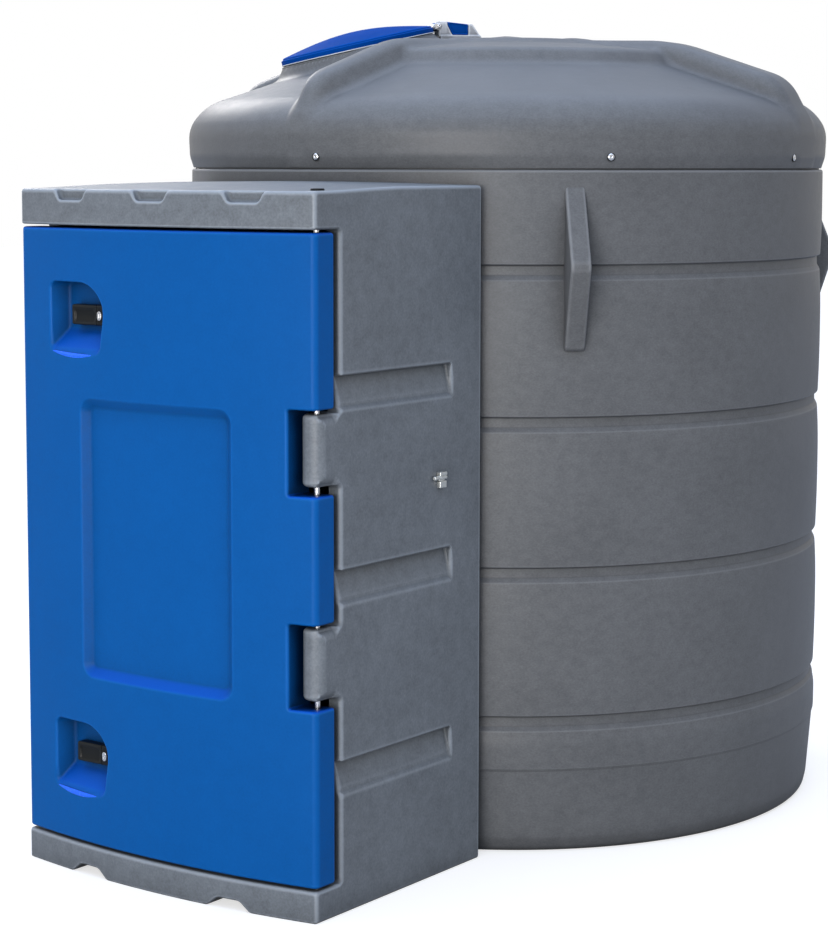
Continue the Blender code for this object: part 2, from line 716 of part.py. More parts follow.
def cabinet_back():
    half = CAB_HALF - CAB_WALL - SEAT
    outline = back_arc(CAB_BACK_WALL, half)[::-1] + back_arc(0.0, half)
    low = PLINTH_TOP_Z + SEAT
    prism("cabinet_back", outline, LIP_BOTTOM_Z - SEAT - low, Matrix.Translation((0, 0, low)),
          CABINET_GREY)


def hinge_barrels():
    for name, (low, high) in BARRELS.items():
        outline = [(CAB_HALF, WALL_FRONT_Y - SEAT), (ROD_X - BARREL_R, WALL_FRONT_Y - SEAT)]
        for step in range(9):
            turn = math.radians(180 + 22.5 * step)
            outline.append((ROD_X + BARREL_R * math.cos(turn), ROD_Y + BARREL_R * math.sin(turn)))
        barrel = prism(f"{name}_hinge_barrel", outline, high - low, Matrix.Translation((0, 0, low)),
                       CABINET_GREY)
        cut(barrel, rod_tool(f"{name}_barrel_cutter", ROD_R + ROD_SEAT, low - CUT_PAST,
                             high + CUT_PAST))


def hinge_rod():
    low = PLINTH_TOP_Z - ROD_SINK
    high = LIP_BOTTOM_Z + ROD_SINK
    place = Matrix.Translation((ROD_X, ROD_Y, (low + high) / 2))
    cone("hinge_rod", ROD_R, ROD_R, high - low, place, ROD_FACETS, STEEL)


def side_fitting():
    depth, width, height = FITTING_SIZE
    half = height / 2
    base = box("side_fitting", (CAB_HALF + SEAT, FITTING_Y - width / 2, FITTING_Z - half),
               (CAB_HALF + depth, FITTING_Y + width / 2, FITTING_Z), ZINC)
    upper = box("side_fitting_upper_shape",
                (CAB_HALF + SEAT, FITTING_Y - width / 2 + FITTING_STEP[0], FITTING_Z - half / 2),
                (CAB_HALF + depth * FITTING_TOP_SHARE, FITTING_Y + width / 2 - FITTING_STEP[1],
                 FITTING_Z + half), collection=CUTTERS)
    join(base, upper)


# Door
def cup_outline(low, high):
    """Front outline of a latch cup: square on the left, swept round at the upper right."""
    left, right = CUP_X
    corners = [(left, low), (right - CUP_SLOPE, low), (right, low + CUP_SWEEP_LOW), (right, high),
               (left, high)]
    return fillet(corners, [CUP_CORNER_R, CUP_SLOPE, CUP_SLOPE, CUP_SWEEP_R, CUP_CORNER_R], 4)


def panel_recess():
    """A cutter for the shallow field in the door, whose floor follows the bowed front."""
    low, high = PANEL_Z
    half = PANEL_HALF
    field = fillet([(-half, low), (half, low), (half, high), (-half, high)], [PANEL_CORNER_R] * 4, 4)
    place = frame_at(Vector((0, ROD_Y, 0)), Vector((1, 0, 0)), UP)
    recess = prism("panel_recess_cutter", field, 5 * CUT_PAST, place, collection=CUTTERS)
    core_plan = bow_arc(PANEL_DEPTH) + [(CAB_HALF, WALL_FRONT_Y), (-CAB_HALF, WALL_FRONT_Y)]
    core = prism("panel_core", core_plan, DOOR_TOP_Z, Matrix.Identity(4), collection=CUTTERS)
    return cut(recess, core)


def door():
    axis = place_empty("door_hinge", Matrix.Translation((ROD_X, ROD_Y, 0.0)))
    front = bow_arc()
    corners = front + [(CAB_HALF, DOOR_BACK_Y), (-CAB_HALF, DOOR_BACK_Y)]
    radii = [0.0] * len(corners)
    radii[0] = DOOR_CORNER_R
    radii[len(front) - 1] = DOOR_CORNER_R
    radii[-1] = DOOR_CORNER_R
    radii[-2] = DOOR_CORNER_R
    panel = prism("door_panel", fillet(corners, radii, 4), DOOR_TOP_Z - DOOR_BOTTOM_Z,
                  Matrix.Translation((0, 0, DOOR_BOTTOM_Z)), BLUE)
    for name, (low, high) in BARRELS.items():
        cut(panel, box(f"{name}_barrel_notch",
                       (ROD_X - BARREL_R - BARREL_GAP_SIDE, CAB_FRONT_Y - CAB_BOW,
                        low - BARREL_GAP_LOW),
                       (CAB_HALF + CUT_PAST, WALL_FRONT_Y, high + BARREL_GAP_TOP),
                       collection=CUTTERS))
    cut(panel, panel_recess())
    cut(panel, rod_tool("door_rod_cutter", ROD_R + DOOR_PLAY, 0.0, CAB_TOP_Z))
    made = [panel]
    for name, (cup_low, cup_high) in CUPS.items():
        place = frame_at(Vector((0, CUP_FLOOR_Y, 0)), Vector((1, 0, 0)), UP)
        cut(panel, prism(f"{name}_cup_cutter", cup_outline(cup_low, cup_high), 5 * CUT_PAST, place,
                         collection=CUTTERS))
        top = cup_high - LATCH_BELOW_TOP
        front_y = CUP_FLOOR_Y - SEAT
        made.append(box(f"{name}_latch", (LATCH_X[0], front_y - LATCH_THICKNESS, top - LATCH_HEIGHT),
                        (LATCH_X[1], front_y, top), BLACK))
    for obj in made:
        obj.parent = axis
        obj.matrix_parent_inverse = axis.matrix_world.inverted()


def shade_smooth():
    for obj in PARTS.objects:
        if obj.type == "MESH":
            obj.data.shade_smooth()
            obj.data.set_sharp_from_angle(angle=math.radians(30))


tank_wall()
tank_floor()
lifting_lugs()
tank_cover()
hatch_lid()
hatch_bracket()
cabinet_roof()
cabinet_plinth()
cabinet_side("right", 1)
cabinet_side("left", -1)
cabinet_back()
hinge_barrels()
hinge_rod()
side_fitting()
door()
shade_smooth()
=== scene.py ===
"""Looks of the diesel exhaust fluid tank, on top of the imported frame. Metres, +Z up."""

import math

import bpy
import numpy as np
from mathutils import Matrix, Vector


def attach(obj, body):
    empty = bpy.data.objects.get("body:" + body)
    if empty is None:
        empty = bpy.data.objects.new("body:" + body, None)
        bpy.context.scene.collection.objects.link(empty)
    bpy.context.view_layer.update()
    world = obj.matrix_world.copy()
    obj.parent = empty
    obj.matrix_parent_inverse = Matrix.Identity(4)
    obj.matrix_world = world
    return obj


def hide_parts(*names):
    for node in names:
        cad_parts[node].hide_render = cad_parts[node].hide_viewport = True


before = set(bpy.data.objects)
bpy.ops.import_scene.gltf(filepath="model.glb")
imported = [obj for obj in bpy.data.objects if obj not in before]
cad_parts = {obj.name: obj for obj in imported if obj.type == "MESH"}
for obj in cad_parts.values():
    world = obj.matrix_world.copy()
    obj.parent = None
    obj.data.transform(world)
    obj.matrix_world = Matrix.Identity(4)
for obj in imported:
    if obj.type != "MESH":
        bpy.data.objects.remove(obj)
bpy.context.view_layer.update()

# Tank shell
TANK_R = 0.825
TANK_SHOULDER_Z = 1.6087
SPIGOT_R = 0.8150
SPIGOT_TOP_Z = 1.655
GROOVE_TOPS = [1.391 - 0.3535 * i for i in range(4)]
FOOT_CREASE_Z = 0.205
INNER_R = 0.801
FLOOR_R = 0.7633
FLOOR_THICK = 0.012

# Cover
COVER_BOTTOM_Z = 1.6116
COVER_R = 0.8325
COVER_INNER_R = 0.8155
SHOULDER = (0.800, 1.767)
CROWN_FOOT = (0.500, 1.867)
CROWN_EDGE = (0.472, 1.905)
CAP_EDGE = (0.224, 1.941)
RIM_DRAFT = 0.0024
RIM_FOOT = (0.8206, COVER_BOTTOM_Z)
TURN_IN_Z = 1.6155
RIB_AZIMUTHS = (-4.5, 97.9, 175.5, 277.9)
RIB_HALF = 0.069
FRONT_RIB_NEAR = 0.046
FRONT_RIB_FAR = 0.004
NECK_R = 0.170
NECK_HOLE_R = 0.186
COLLAR_TOP_R = 0.198
COLLAR_FOOT_R = 0.248
COLLAR_DEPTH = 0.085
COLLAR_DROP = 0.0060

# Hatch
HATCH_AZIMUTH = -43.2
HATCH_RADIUS = 0.396
HATCH_TILT = math.radians(12.8)
HATCH_Z = 1.921
LID_R = 0.202
PIN_OUT = 0.216
PIN_UP = 0.010
LID_CROWN = 0.029
LID_CROWN_FOOT = 0.0140
LID_THICK = 0.006
LINK_REACH = 0.0180

# Cabinet
CAB_HALF = 0.430
BOW_R = (0.430 ** 2 + 0.041 ** 2) / (2 * 0.041)
BOW_CY = -1.351 - 0.041 + BOW_R
BACK_CY = 0.2658
BACK_R = 1.0911
CAB_TOP_Z = 1.565
CAB_WALL_X = 0.395
CAB_MIDDLE_Z = 0.777
LIP_BOTTOM_Z = 1.484
NOTCH_BOTTOM_Z = 1.540
ROOF_RISE = 0.016
ROOF_RUN = 0.32
PLINTH_TOP_Z = 0.070
WALL_FRONT_Y = -1.266
SIDE_GROOVES = ((1.104, 1.174), (0.684, 0.755), (0.268, 0.338))
GROOVE_END_Y = -0.858
LIP_NOTCHES = (-0.250, 0.0, 0.254)
FOOT_NOTCHES = (-0.210, 0.205)
DOOR_BOTTOM_Z = 0.0758
DOOR_TOP_Z = 1.4786
DOOR_BACK_Y = -1.285
ROD_X = 0.400
ROD_Y = -1.310
BARREL_R = 0.030
BARRELS = ((0.940, 1.095), (0.480, 0.636))
NOTCH_ABOVE, NOTCH_BELOW, NOTCH_BESIDE = 0.010, 0.018, 0.008
PANEL_HALF = 0.222
PANEL_Z = (0.463, 1.098)
PANEL_DEPTH = 0.017
CUP_X = (-0.322, -0.140)
CUPS = ((1.196, 1.357), (0.190, 0.353))
CUP_DEPTH = 0.042
LATCH_X = (-0.264, -0.164)
LATCH_FACE_Y = -1.3603
LATCH_BELOW_CUP = 0.0735
KEY_AT = (0.0370, -0.0012, -0.0012)

# Lifting lugs
LUG_FOOT_Z = 1.190
LUG_TIP_R = TANK_R + 0.074

# Rim bolts
BOLT_AZIMUTHS = (1.2, 50.8, 91.9, 140.8, 181.9, 230.8, 271.9)
BOLT_Z = 1.638

# Studio and camera
FLOOR_HALF = 30.0
FLOOR_BOUNCE = 0.44
FLOOR_GLOW = 1.37
FLOOR_GLOW_SHARE = 0.47
SKY_LOW = (0.84, 0.72)
SKY_TOP = 0.50
SKY_SIDE = 0.06
CAMERA_AZIMUTH = math.radians(33.839)
CAMERA_REACH = 6.2619
CAMERA_Z = 1.6211
CAMERA_TURN = [math.radians(v) for v in (90 - 5.688, -0.0805, 36.059)]
CAMERA_LENS = 90.9
CAMERA_SHIFT = -0.0728

# A surface that bends round this radius or less counts as a full edge or hollow
EDGE_RADIUS = 0.006

# Lathe outlines end this far from their axis
AXIS_R = 0.0004

# An arc in an outline turns by this many degrees or less at each point
ARC_STEP = 10.0


# Vectors and frames
def radial(azimuth):
    a = math.radians(azimuth)
    return Vector((math.sin(a), -math.cos(a), 0.0))


def frame_at(origin, x_axis, y_axis):
    z_axis = x_axis.cross(y_axis)
    return Matrix.Translation(origin) @ Matrix((x_axis, y_axis, z_axis)).transposed().to_4x4()


UP = Vector((0, 0, 1))
HATCH_OUT = radial(HATCH_AZIMUTH)
HATCH_ACROSS = UP.cross(HATCH_OUT)
HATCH_NORMAL = HATCH_OUT * math.sin(HATCH_TILT) + UP * math.cos(HATCH_TILT)
HATCH_DOWN = HATCH_OUT * math.cos(HATCH_TILT) - UP * math.sin(HATCH_TILT)
HATCH_CENTRE = HATCH_OUT * HATCH_RADIUS + UP * HATCH_Z
HATCH_FRAME = frame_at(HATCH_CENTRE, HATCH_DOWN, HATCH_ACROSS)
BRACKET_FRAME = frame_at(Vector(), HATCH_OUT, HATCH_ACROSS)
PIN_CENTRE = HATCH_CENTRE - HATCH_DOWN * PIN_OUT + HATCH_NORMAL * PIN_UP


# Materials
def node(tree, kind, links=(), **settings):
    """Adds a node; links is a dictionary of input name or number to a value or another socket."""
    made = tree.nodes.new(kind)
    for name, value in settings.items():
        setattr(made, name, value)
    for name, value in dict(links).items():
        socket = made.inputs[name]
        if isinstance(value, bpy.types.NodeSocket):
            tree.links.new(value, socket)
        else:
            socket.default_value = value
    return made


def maths(tree, operation, a, b=0.0, c=0.0, clamp=False):
    return node(tree, "ShaderNodeMath", {0: a, 1: b, 2: c}, operation=operation,
                use_clamp=clamp).outputs[0]


def mixed(tree, factor, a, b):
    """Mixes two colours; factor, a and b are values or sockets."""
    return node(tree, "ShaderNodeMix", {0: factor, 6: a, 7: b}, data_type="RGBA").outputs[2]


def rgba(base, strength=1.0):
    return (*[strength * v for v in base], 1)


def noise(tree, place, scale, detail=2.0, rough=0.5, stretch=None):
    if stretch is not None:
        place = node(tree, "ShaderNodeMapping", {"Vector": place, "Scale": stretch}).outputs[0]
    return node(tree, "ShaderNodeTexNoise", {"Vector": place, "Scale": scale, "Detail": detail,
                                             "Roughness": rough}).outputs["Fac"]


def ramp(tree, value, low, high, to_low=0.0, to_high=1.0):
    return node(tree, "ShaderNodeMapRange", {"Value": value, "From Min": low, "From Max": high,
                                             "To Min": to_low, "To Max": to_high}).outputs[0]


def new_material(name):
    made = bpy.data.materials.new(name)
    made.use_nodes = True
    tree = made.node_tree
    shader = tree.nodes["Principled BSDF"]
    place = node(tree, "ShaderNodeTexCoord").outputs["Object"]
    return made, tree, shader, place


def plastic(name, base, roughness, specular, stretch=(1, 1, 1), spread=0.30, edge_highlight_gain=2.0,
            ao_shade_depth=0.55, upward=None):
    """Moulded plastic: fine speckle, cloudy tone, faint waviness; painted highlights on edges that
    face up, painted shade in creases and sheltered places, and an optional painted lit colour on
    faces that look up.
    """
    made, tree, shader, place = new_material(name)
    speckle = noise(tree, place, 190.0, 2.5, 0.65, stretch)
    cloud = noise(tree, place, 5.0, 3.0, 0.55)
    blotch = noise(tree, place, 38.0, 2.0, 0.5, stretch)
    tone = maths(tree, "ADD", ramp(tree, speckle, 0.25, 0.75, -0.5, 0.5),
                 maths(tree, "MULTIPLY", ramp(tree, blotch, 0.3, 0.7, -0.5, 0.5), 0.45))
    tone = maths(tree, "ADD", tone,
                 maths(tree, "MULTIPLY", ramp(tree, cloud, 0.3, 0.7, -0.5, 0.5), 0.35))
    shade = maths(tree, "ADD", maths(tree, "MULTIPLY", tone, 0.5), 0.5, clamp=True)
    colour = mixed(tree, shade, rgba(base, 1 - spread), rgba(base, 1 + spread))
    colour = mixed(tree, 0.20, colour, rgba(base))
    edge = node(tree, "ShaderNodeAttribute", attribute_name="edge").outputs["Fac"]
    normal = node(tree, "ShaderNodeNewGeometry").outputs["Normal"]
    facing = node(tree, "ShaderNodeSeparateXYZ", {0: normal}).outputs["Z"]
    # Painted highlight: paler colour on convex edges, strongest on edges that face up
    edge_highlight = maths(tree, "MULTIPLY", ramp(tree, edge, 0.15, 0.8, 0.0, 0.60),
                 ramp(tree, facing, -0.45, 0.0))
    pale = [min(1.0, edge_highlight_gain * v + 0.004) for v in base]
    colour = mixed(tree, edge_highlight, colour, rgba(pale))
    # Painted shade: darker colour in concave creases and hollows
    hollow = ramp(tree, edge, -0.10, -0.5, 0.0, 0.32)
    colour = mixed(tree, hollow, colour, rgba(base, 0.55))
    # Painted light: a lit colour mixed in on faces that look up
    if upward is not None:
        colour = mixed(tree, ramp(tree, facing, 0.18, 0.75, 0.0, 0.85), colour, rgba(upward))
    # Painted shade: the colour darkens where ambient occlusion finds nearby surfaces, in recesses
    # and crevices
    painted_ao_shade = node(tree, "ShaderNodeAmbientOcclusion", {"Distance": 0.06}, samples=6).outputs["AO"]
    painted_ao_shade = ramp(tree, painted_ao_shade, 0.35, 0.97, ao_shade_depth, 0.0)
    colour = mixed(tree, painted_ao_shade, colour, rgba(base, 0.12))
    tree.links.new(colour, shader.inputs["Base Color"])
    tree.links.new(ramp(tree, maths(tree, "ADD", speckle, blotch), 0.6, 1.4, roughness - 0.06,
                        roughness + 0.06), shader.inputs["Roughness"])
    shader.inputs["Specular IOR Level"].default_value = specular
    wave = noise(tree, place, 9.0, 1.0, 0.4)
    grain = noise(tree, place, 520.0, 2.0, 0.6)
    bump = node(tree, "ShaderNodeBump", {"Height": wave, "Strength": 0.5, "Distance": 0.0022})
    bump = node(tree, "ShaderNodeBump", {"Height": blotch, "Strength": 0.35, "Distance": 0.0006,
                                         "Normal": bump.outputs[0]})
    bump = node(tree, "ShaderNodeBump", {"Height": grain, "Strength": 0.35, "Distance": 0.0003,
                                         "Normal": bump.outputs[0]})
    tree.links.new(bump.outputs[0], shader.inputs["Normal"])
    return made


def metal(name, base, roughness, stretch):
    """Bright metal with fine drawn lines and a cloudy tarnish."""
    made, tree, shader, place = new_material(name)
    lines = noise(tree, place, 420.0, 2.0, 0.6, stretch)
    cloud = noise(tree, place, 60.0, 2.0, 0.5)
    tone = maths(tree, "ADD", maths(tree, "MULTIPLY", lines, 0.5),
                 maths(tree, "MULTIPLY", cloud, 0.5))
    colour = mixed(tree, ramp(tree, tone, 0.3, 0.7), rgba(base, 0.72), rgba(base))
    tree.links.new(colour, shader.inputs["Base Color"])
    tree.links.new(ramp(tree, tone, 0.3, 0.7, roughness + 0.08, roughness - 0.05),
                   shader.inputs["Roughness"])
    shader.inputs["Metallic"].default_value = 1.0
    bump = node(tree, "ShaderNodeBump", {"Height": lines, "Strength": 0.2, "Distance": 0.0002})
    tree.links.new(bump.outputs[0], shader.inputs["Normal"])
    return made


TANK_GREY = plastic("tank_grey_moulded", (0.096, 0.101, 0.108), 0.44, 0.28, (1, 1, 1.5),
                    spread=0.42)
CABINET_GREY = plastic("cabinet_grey_moulded", (0.118, 0.134, 0.152), 0.42, 0.34, spread=0.52,
                       edge_highlight_gain=2.4, ao_shade_depth=0.40)
PALE_GREY = plastic("pale_grey_moulded", (0.330, 0.350, 0.380), 0.45, 0.4)
# Painted light: a brighter blue on faces that look up, and full-strength painted shade in recesses
BLUE = plastic("blue_moulded", (0.0003, 0.072, 0.272), 0.45, 0.09, spread=0.16, edge_highlight_gain=1.45,
               ao_shade_depth=1.0, upward=(0.0003, 0.066, 0.450))
BLUE_LID = plastic("blue_lid_moulded", (0.0006, 0.044, 0.240), 0.6, 0.008, spread=0.14,
                   edge_highlight_gain=1.5)
# Pale bright blue that paints the highlight along the cups' lower lips
BLUE_LIP_HIGHLIGHT = plastic("blue_lip_highlight", (0.008, 0.115, 0.800), 0.25, 0.4, spread=0.2)
BLACK = plastic("black_latch_moulded", (0.0035, 0.0045, 0.0048), 0.42, 0.22)
STEEL = metal("bright_steel_drawn", (0.78, 0.79, 0.81), 0.24, (1, 1, 0.08))
ZINC = metal("pale_zinc_plated", (0.80, 0.82, 0.80), 0.34, (1, 1, 1))


# Mesh building
def piece(name, points, faces, material, body, normals, edge):
    """A smooth-shaded piece that rides a body; its material reads the edge values."""
    mesh = bpy.data.meshes.new(name)
    mesh.from_pydata(points.tolist(), [], faces)
    mesh.validate()
    mesh.shade_smooth()
    mesh.materials.append(material)
    mesh.attributes.new("edge", "FLOAT", "POINT").data.foreach_set("value", np.float32(edge))
    obj = bpy.data.objects.new(name, mesh)
    bpy.context.scene.collection.objects.link(obj)
    mesh.normals_split_custom_set_from_vertices(normals.tolist())
    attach(obj, body)
    return obj


def moved(surface, place):
    """A surface of (points, quads, normals, edge values) brought to a frame."""
    points, quads, normals, edge = surface
    m = np.array(place)
    return points @ m[:3, :3].T + m[:3, 3], quads, normals @ m[:3, :3].T, edge


def as_edge(bend):
    """The value that the materials read, from 1/radius: 1 on an edge, -1 in a hollow."""
    return np.clip(bend * EDGE_RADIUS, -1, 1)


def rounded(corners, closed=True):
    """Outline points from (x, y, bend) corners; each bend is an arc that meets both sides."""
    made = []
    count = len(corners)
    for i, (x, y, bend) in enumerate(corners):
        here = np.array((x, y), float)
        if bend == 0 or (not closed and i in (0, count - 1)):
            made.append(here)
            continue
        before = np.array(corners[i - 1][:2]) - here
        after = np.array(corners[(i + 1) % count][:2]) - here
        before /= np.linalg.norm(before)
        after /= np.linalg.norm(after)
        opening = math.acos(float(np.clip(before @ after, -1, 1)))
        run = bend / math.tan(opening / 2)
        middle = here + (before + after) / np.linalg.norm(before + after) * bend / math.sin(
            opening / 2)
        first = here + before * run - middle
        last = here + after * run - middle
        swing = math.pi - opening
        steps = max(2, math.ceil(math.degrees(swing) / ARC_STEP))
        for step in range(steps + 1):
            t = step / steps
            made.append(middle + (first * math.sin((1 - t) * swing) + last * math.sin(t * swing))
                        / math.sin(swing))
    return np.array(made)


def split_long(outline, longest, closed=True):
    """The same outline with long sides divided."""
    made = []
    count = len(outline)
    for i in range(count if closed else count - 1):
        a = outline[i]
        b = outline[(i + 1) % count]
        parts = max(1, math.ceil(np.linalg.norm(b - a) / longest))
        for part in range(parts):
            made.append(a + (b - a) * part / parts)
    if not closed:
        made.append(outline[-1])
    return np.array(made)


def outline_normals(outline, closed):
    """Normals to the left of an outline's direction, each side weighted by its length."""
    ahead = np.roll(outline, -1, 0) - outline
    if not closed:
        ahead[-1] = ahead[-2]
    behind = np.roll(ahead, 1, 0)
    if not closed:
        behind[0] = ahead[0]
    along = ahead + behind
    out = np.stack([-along[:, 1], along[:, 0]], 1)
    return out / np.linalg.norm(out, axis=1)[:, None]


def outline_bend(outline, closed):
    """1/radius of an outline at each point, positive where its left-hand side is convex."""
    normal = outline_normals(outline, closed)
    ahead = np.roll(outline, -1, 0) - np.roll(outline, 1, 0)
    change = np.roll(normal, -1, 0) - np.roll(normal, 1, 0)
    length = np.linalg.norm(ahead, axis=1) + 1e-9
    bend = (change * ahead).sum(1) / length ** 2
    if not closed:
        bend[0] = bend[1]
        bend[-1] = bend[-2]
    return bend


def spun(turn, r, z):
    """Points of one upright plane, as radii and heights, turned about Z to each angle."""
    c, s = np.cos(turn)[:, None], np.sin(turn)[:, None]
    return np.stack([c * r, s * r, np.broadcast_to(z, (len(turn), len(z)))], 2)


def grid_quads(rows, columns, wrap_rows=True, wrap_columns=True):
    """Quads of points counted row by row; a wrap joins the last row or column to the first."""
    i, j = np.meshgrid(np.arange(rows if wrap_rows else rows - 1),
                       np.arange(columns if wrap_columns else columns - 1), indexing="ij")
    i2, j2 = (i + 1) % rows, (j + 1) % columns
    return np.stack([i * columns + j, i2 * columns + j, i2 * columns + j2, i * columns + j2],
                    2).reshape(-1, 4)


def turned(outline, facets, place=None, flip=False):
    """A closed outline of (radius, height) turned about Z.

    Its outer side goes up, or with flip, down.
    """
    turn = np.arange(facets) * 2 * math.pi / facets
    points = spun(turn, *outline.T).reshape(-1, 3)
    faces = grid_quads(facets, len(outline))
    normals = -spun(turn, *outline_normals(outline, True).T).reshape(-1, 3)
    edges = np.tile(-as_edge(outline_bend(outline, True)), facets)
    if flip:
        faces, normals, edges = faces[:, ::-1], -normals, -edges
    surface = (points, faces, normals, edges)
    return surface if place is None else moved(surface, place)


def lathe(name, outline, material, body, **settings):
    points, faces, normals, edges = turned(outline, **settings)
    return piece(name, points, faces.tolist(), material, body, normals, edges)


def gathered(name, surfaces, material, body):
    """One piece from several surfaces of quads."""
    shift = np.cumsum([0] + [len(s[0]) for s in surfaces[:-1]])
    faces = np.concatenate([s[1] + k for s, k in zip(surfaces, shift)])
    points, normals, edges = (np.concatenate([s[n] for s in surfaces]) for n in (0, 2, 3))
    return piece(name, points, faces.tolist(), material, body, normals, edges)


# Signed distances, negative inside; each joint of two shapes has its own rounding
def meet(a, b, r):
    return np.minimum(-r, np.maximum(a, b)) + np.hypot(np.maximum(a + r, 0), np.maximum(b + r, 0))


def join(a, b, r):
    return np.maximum(r, np.minimum(a, b)) - np.hypot(np.maximum(r - a, 0), np.maximum(r - b, 0))


def cut(a, b, r):
    return meet(a, -b, r)


def soft_meet(a, b, r, turn):
    """As meet, for two faces that turn by less than a right angle, given in degrees."""
    k = r * math.radians(turn) ** 2 / 2
    return np.maximum(a, b) + np.maximum(k - np.abs(a - b), 0) ** 2 / (4 * k)


def soft_join(a, b, r, turn):
    return -soft_meet(-a, -b, r, turn)


def line(u, v, first, second):
    """Signed distance from the line through two points; its right-hand side is inside."""
    du, dv = second[0] - first[0], second[1] - first[1]
    length = math.hypot(du, dv)
    return ((v - first[1]) * du - (u - first[0]) * dv) / length


def slope(field, p, h=0.0005):
    x, y, z = p.T
    g = [field(x + h, y, z) - field(x - h, y, z), field(x, y + h, z) - field(x, y - h, z),
         field(x, y, z + h) - field(x, y, z - h)]
    return np.stack(g, 1) / (2 * h)


def bend_of(field, p, h=0.005):
    """1/radius of the surface at each point, positive on convex edges."""
    x, y, z = p.T
    around = (field(x + h, y, z) + field(x - h, y, z) + field(x, y + h, z) + field(x, y - h, z)
              + field(x, y, z + h) + field(x, y, z - h))
    return (around - 6 * field(x, y, z)) / h ** 2


def grid_lines(low, high, coarse, *fine):
    """Grid positions from low to high; fine is a list of (from, to, pitch)."""
    stops = sorted({low, high, *[min(max(v, low), high) for f in fine for v in f[:2]]})
    made = [low]
    for a, b in zip(stops, stops[1:]):
        middle = (a + b) / 2
        pitch = min([coarse] + [f[2] for f in fine if f[0] <= middle <= f[1]])
        parts = max(1, math.ceil((b - a) / pitch - 1e-9))
        made += [a + (b - a) * (k + 1) / parts for k in range(parts)]
    return np.array(made)


def net(field, lines, reach=0.004):
    """The zero surface of a field on a grid of lines: points, quads, normals and edge values."""
    shape = [len(v) for v in lines]
    cells = [n - 1 for n in shape]
    d = np.broadcast_to(field(*np.meshgrid(*lines, indexing="ij", sparse=True)), shape)
    inside = d < 0
    quads, spots = [], []
    for axis in range(3):
        low = tuple(slice(None, -1) if n == axis else slice(None) for n in range(3))
        high = tuple(slice(1, None) if n == axis else slice(None) for n in range(3))
        ijk = np.argwhere(inside[low] != inside[high])
        u, v = (axis + 1) % 3, (axis + 2) % 3
        keep = ((ijk[:, u] > 0) & (ijk[:, u] < cells[u]) & (ijk[:, v] > 0) & (ijk[:, v] < cells[v]))
        ijk = ijk[keep]
        a = d[low][tuple(ijk.T)]
        b = d[high][tuple(ijk.T)]
        p = np.stack([lines[n][ijk[:, n]] for n in range(3)], 1)
        p[:, axis] += a / (a - b) * (lines[axis][ijk[:, axis] + 1] - p[:, axis])
        quad = []
        for du, dv in ((-1, -1), (0, -1), (0, 0), (-1, 0)):
            c = ijk.copy()
            c[:, u] += du
            c[:, v] += dv
            quad.append(np.ravel_multi_index(tuple(c.T), cells))
        quad = np.stack(quad, 1)
        out = a >= 0
        quad[out] = quad[out][:, ::-1]
        quads.append(quad)
        spots.append(np.repeat(p[:, None, :], 4, 1))
    quads = np.concatenate(quads)
    spots = np.concatenate(spots).reshape(-1, 3)
    index = np.unique(quads.reshape(-1), return_inverse=True)[1].reshape(-1)
    count = np.bincount(index)
    p = np.stack([np.bincount(index, spots[:, n]) / count for n in range(3)], 1)
    for _ in range(4):
        g = slope(field, p)
        size = np.maximum((g * g).sum(1), 0.2)
        step = -g * (field(*p.T) / size)[:, None]
        long = np.linalg.norm(step, axis=1)
        p += step * np.minimum(1, reach / np.maximum(long, 1e-9))[:, None]
    g = slope(field, p)
    normals = g / np.maximum(np.linalg.norm(g, axis=1), 1e-9)[:, None]
    return p, index.reshape(-1, 4), normals, as_edge(bend_of(field, p))


def skin(name, surface, material, body, choose=None):
    """A piece from a net, or from those of its quads that choose picks by their middles."""
    p, quads, normals, edge = surface
    if choose is not None:
        quads = quads[choose(p[quads].mean(1))]
    used, index = np.unique(quads.reshape(-1), return_inverse=True)
    return piece(name, p[used], index.reshape(-1, 4).tolist(), material, body, normals[used],
                 edge[used])


# Tank shell: five bands with four ring grooves between them
def band(top, bottom, upper_pull, lower_pull):
    """One band going down, slightly fuller in its middle than at its ends."""
    made = []
    for t in np.linspace(0, 1, 15):
        pull = upper_pull * max(0, 1 - t / 0.35) ** 2 + lower_pull * max(0, (t - 0.5) / 0.5) ** 2
        made.append((TANK_R - pull, top + (bottom - top) * t, 0.0))
    return made


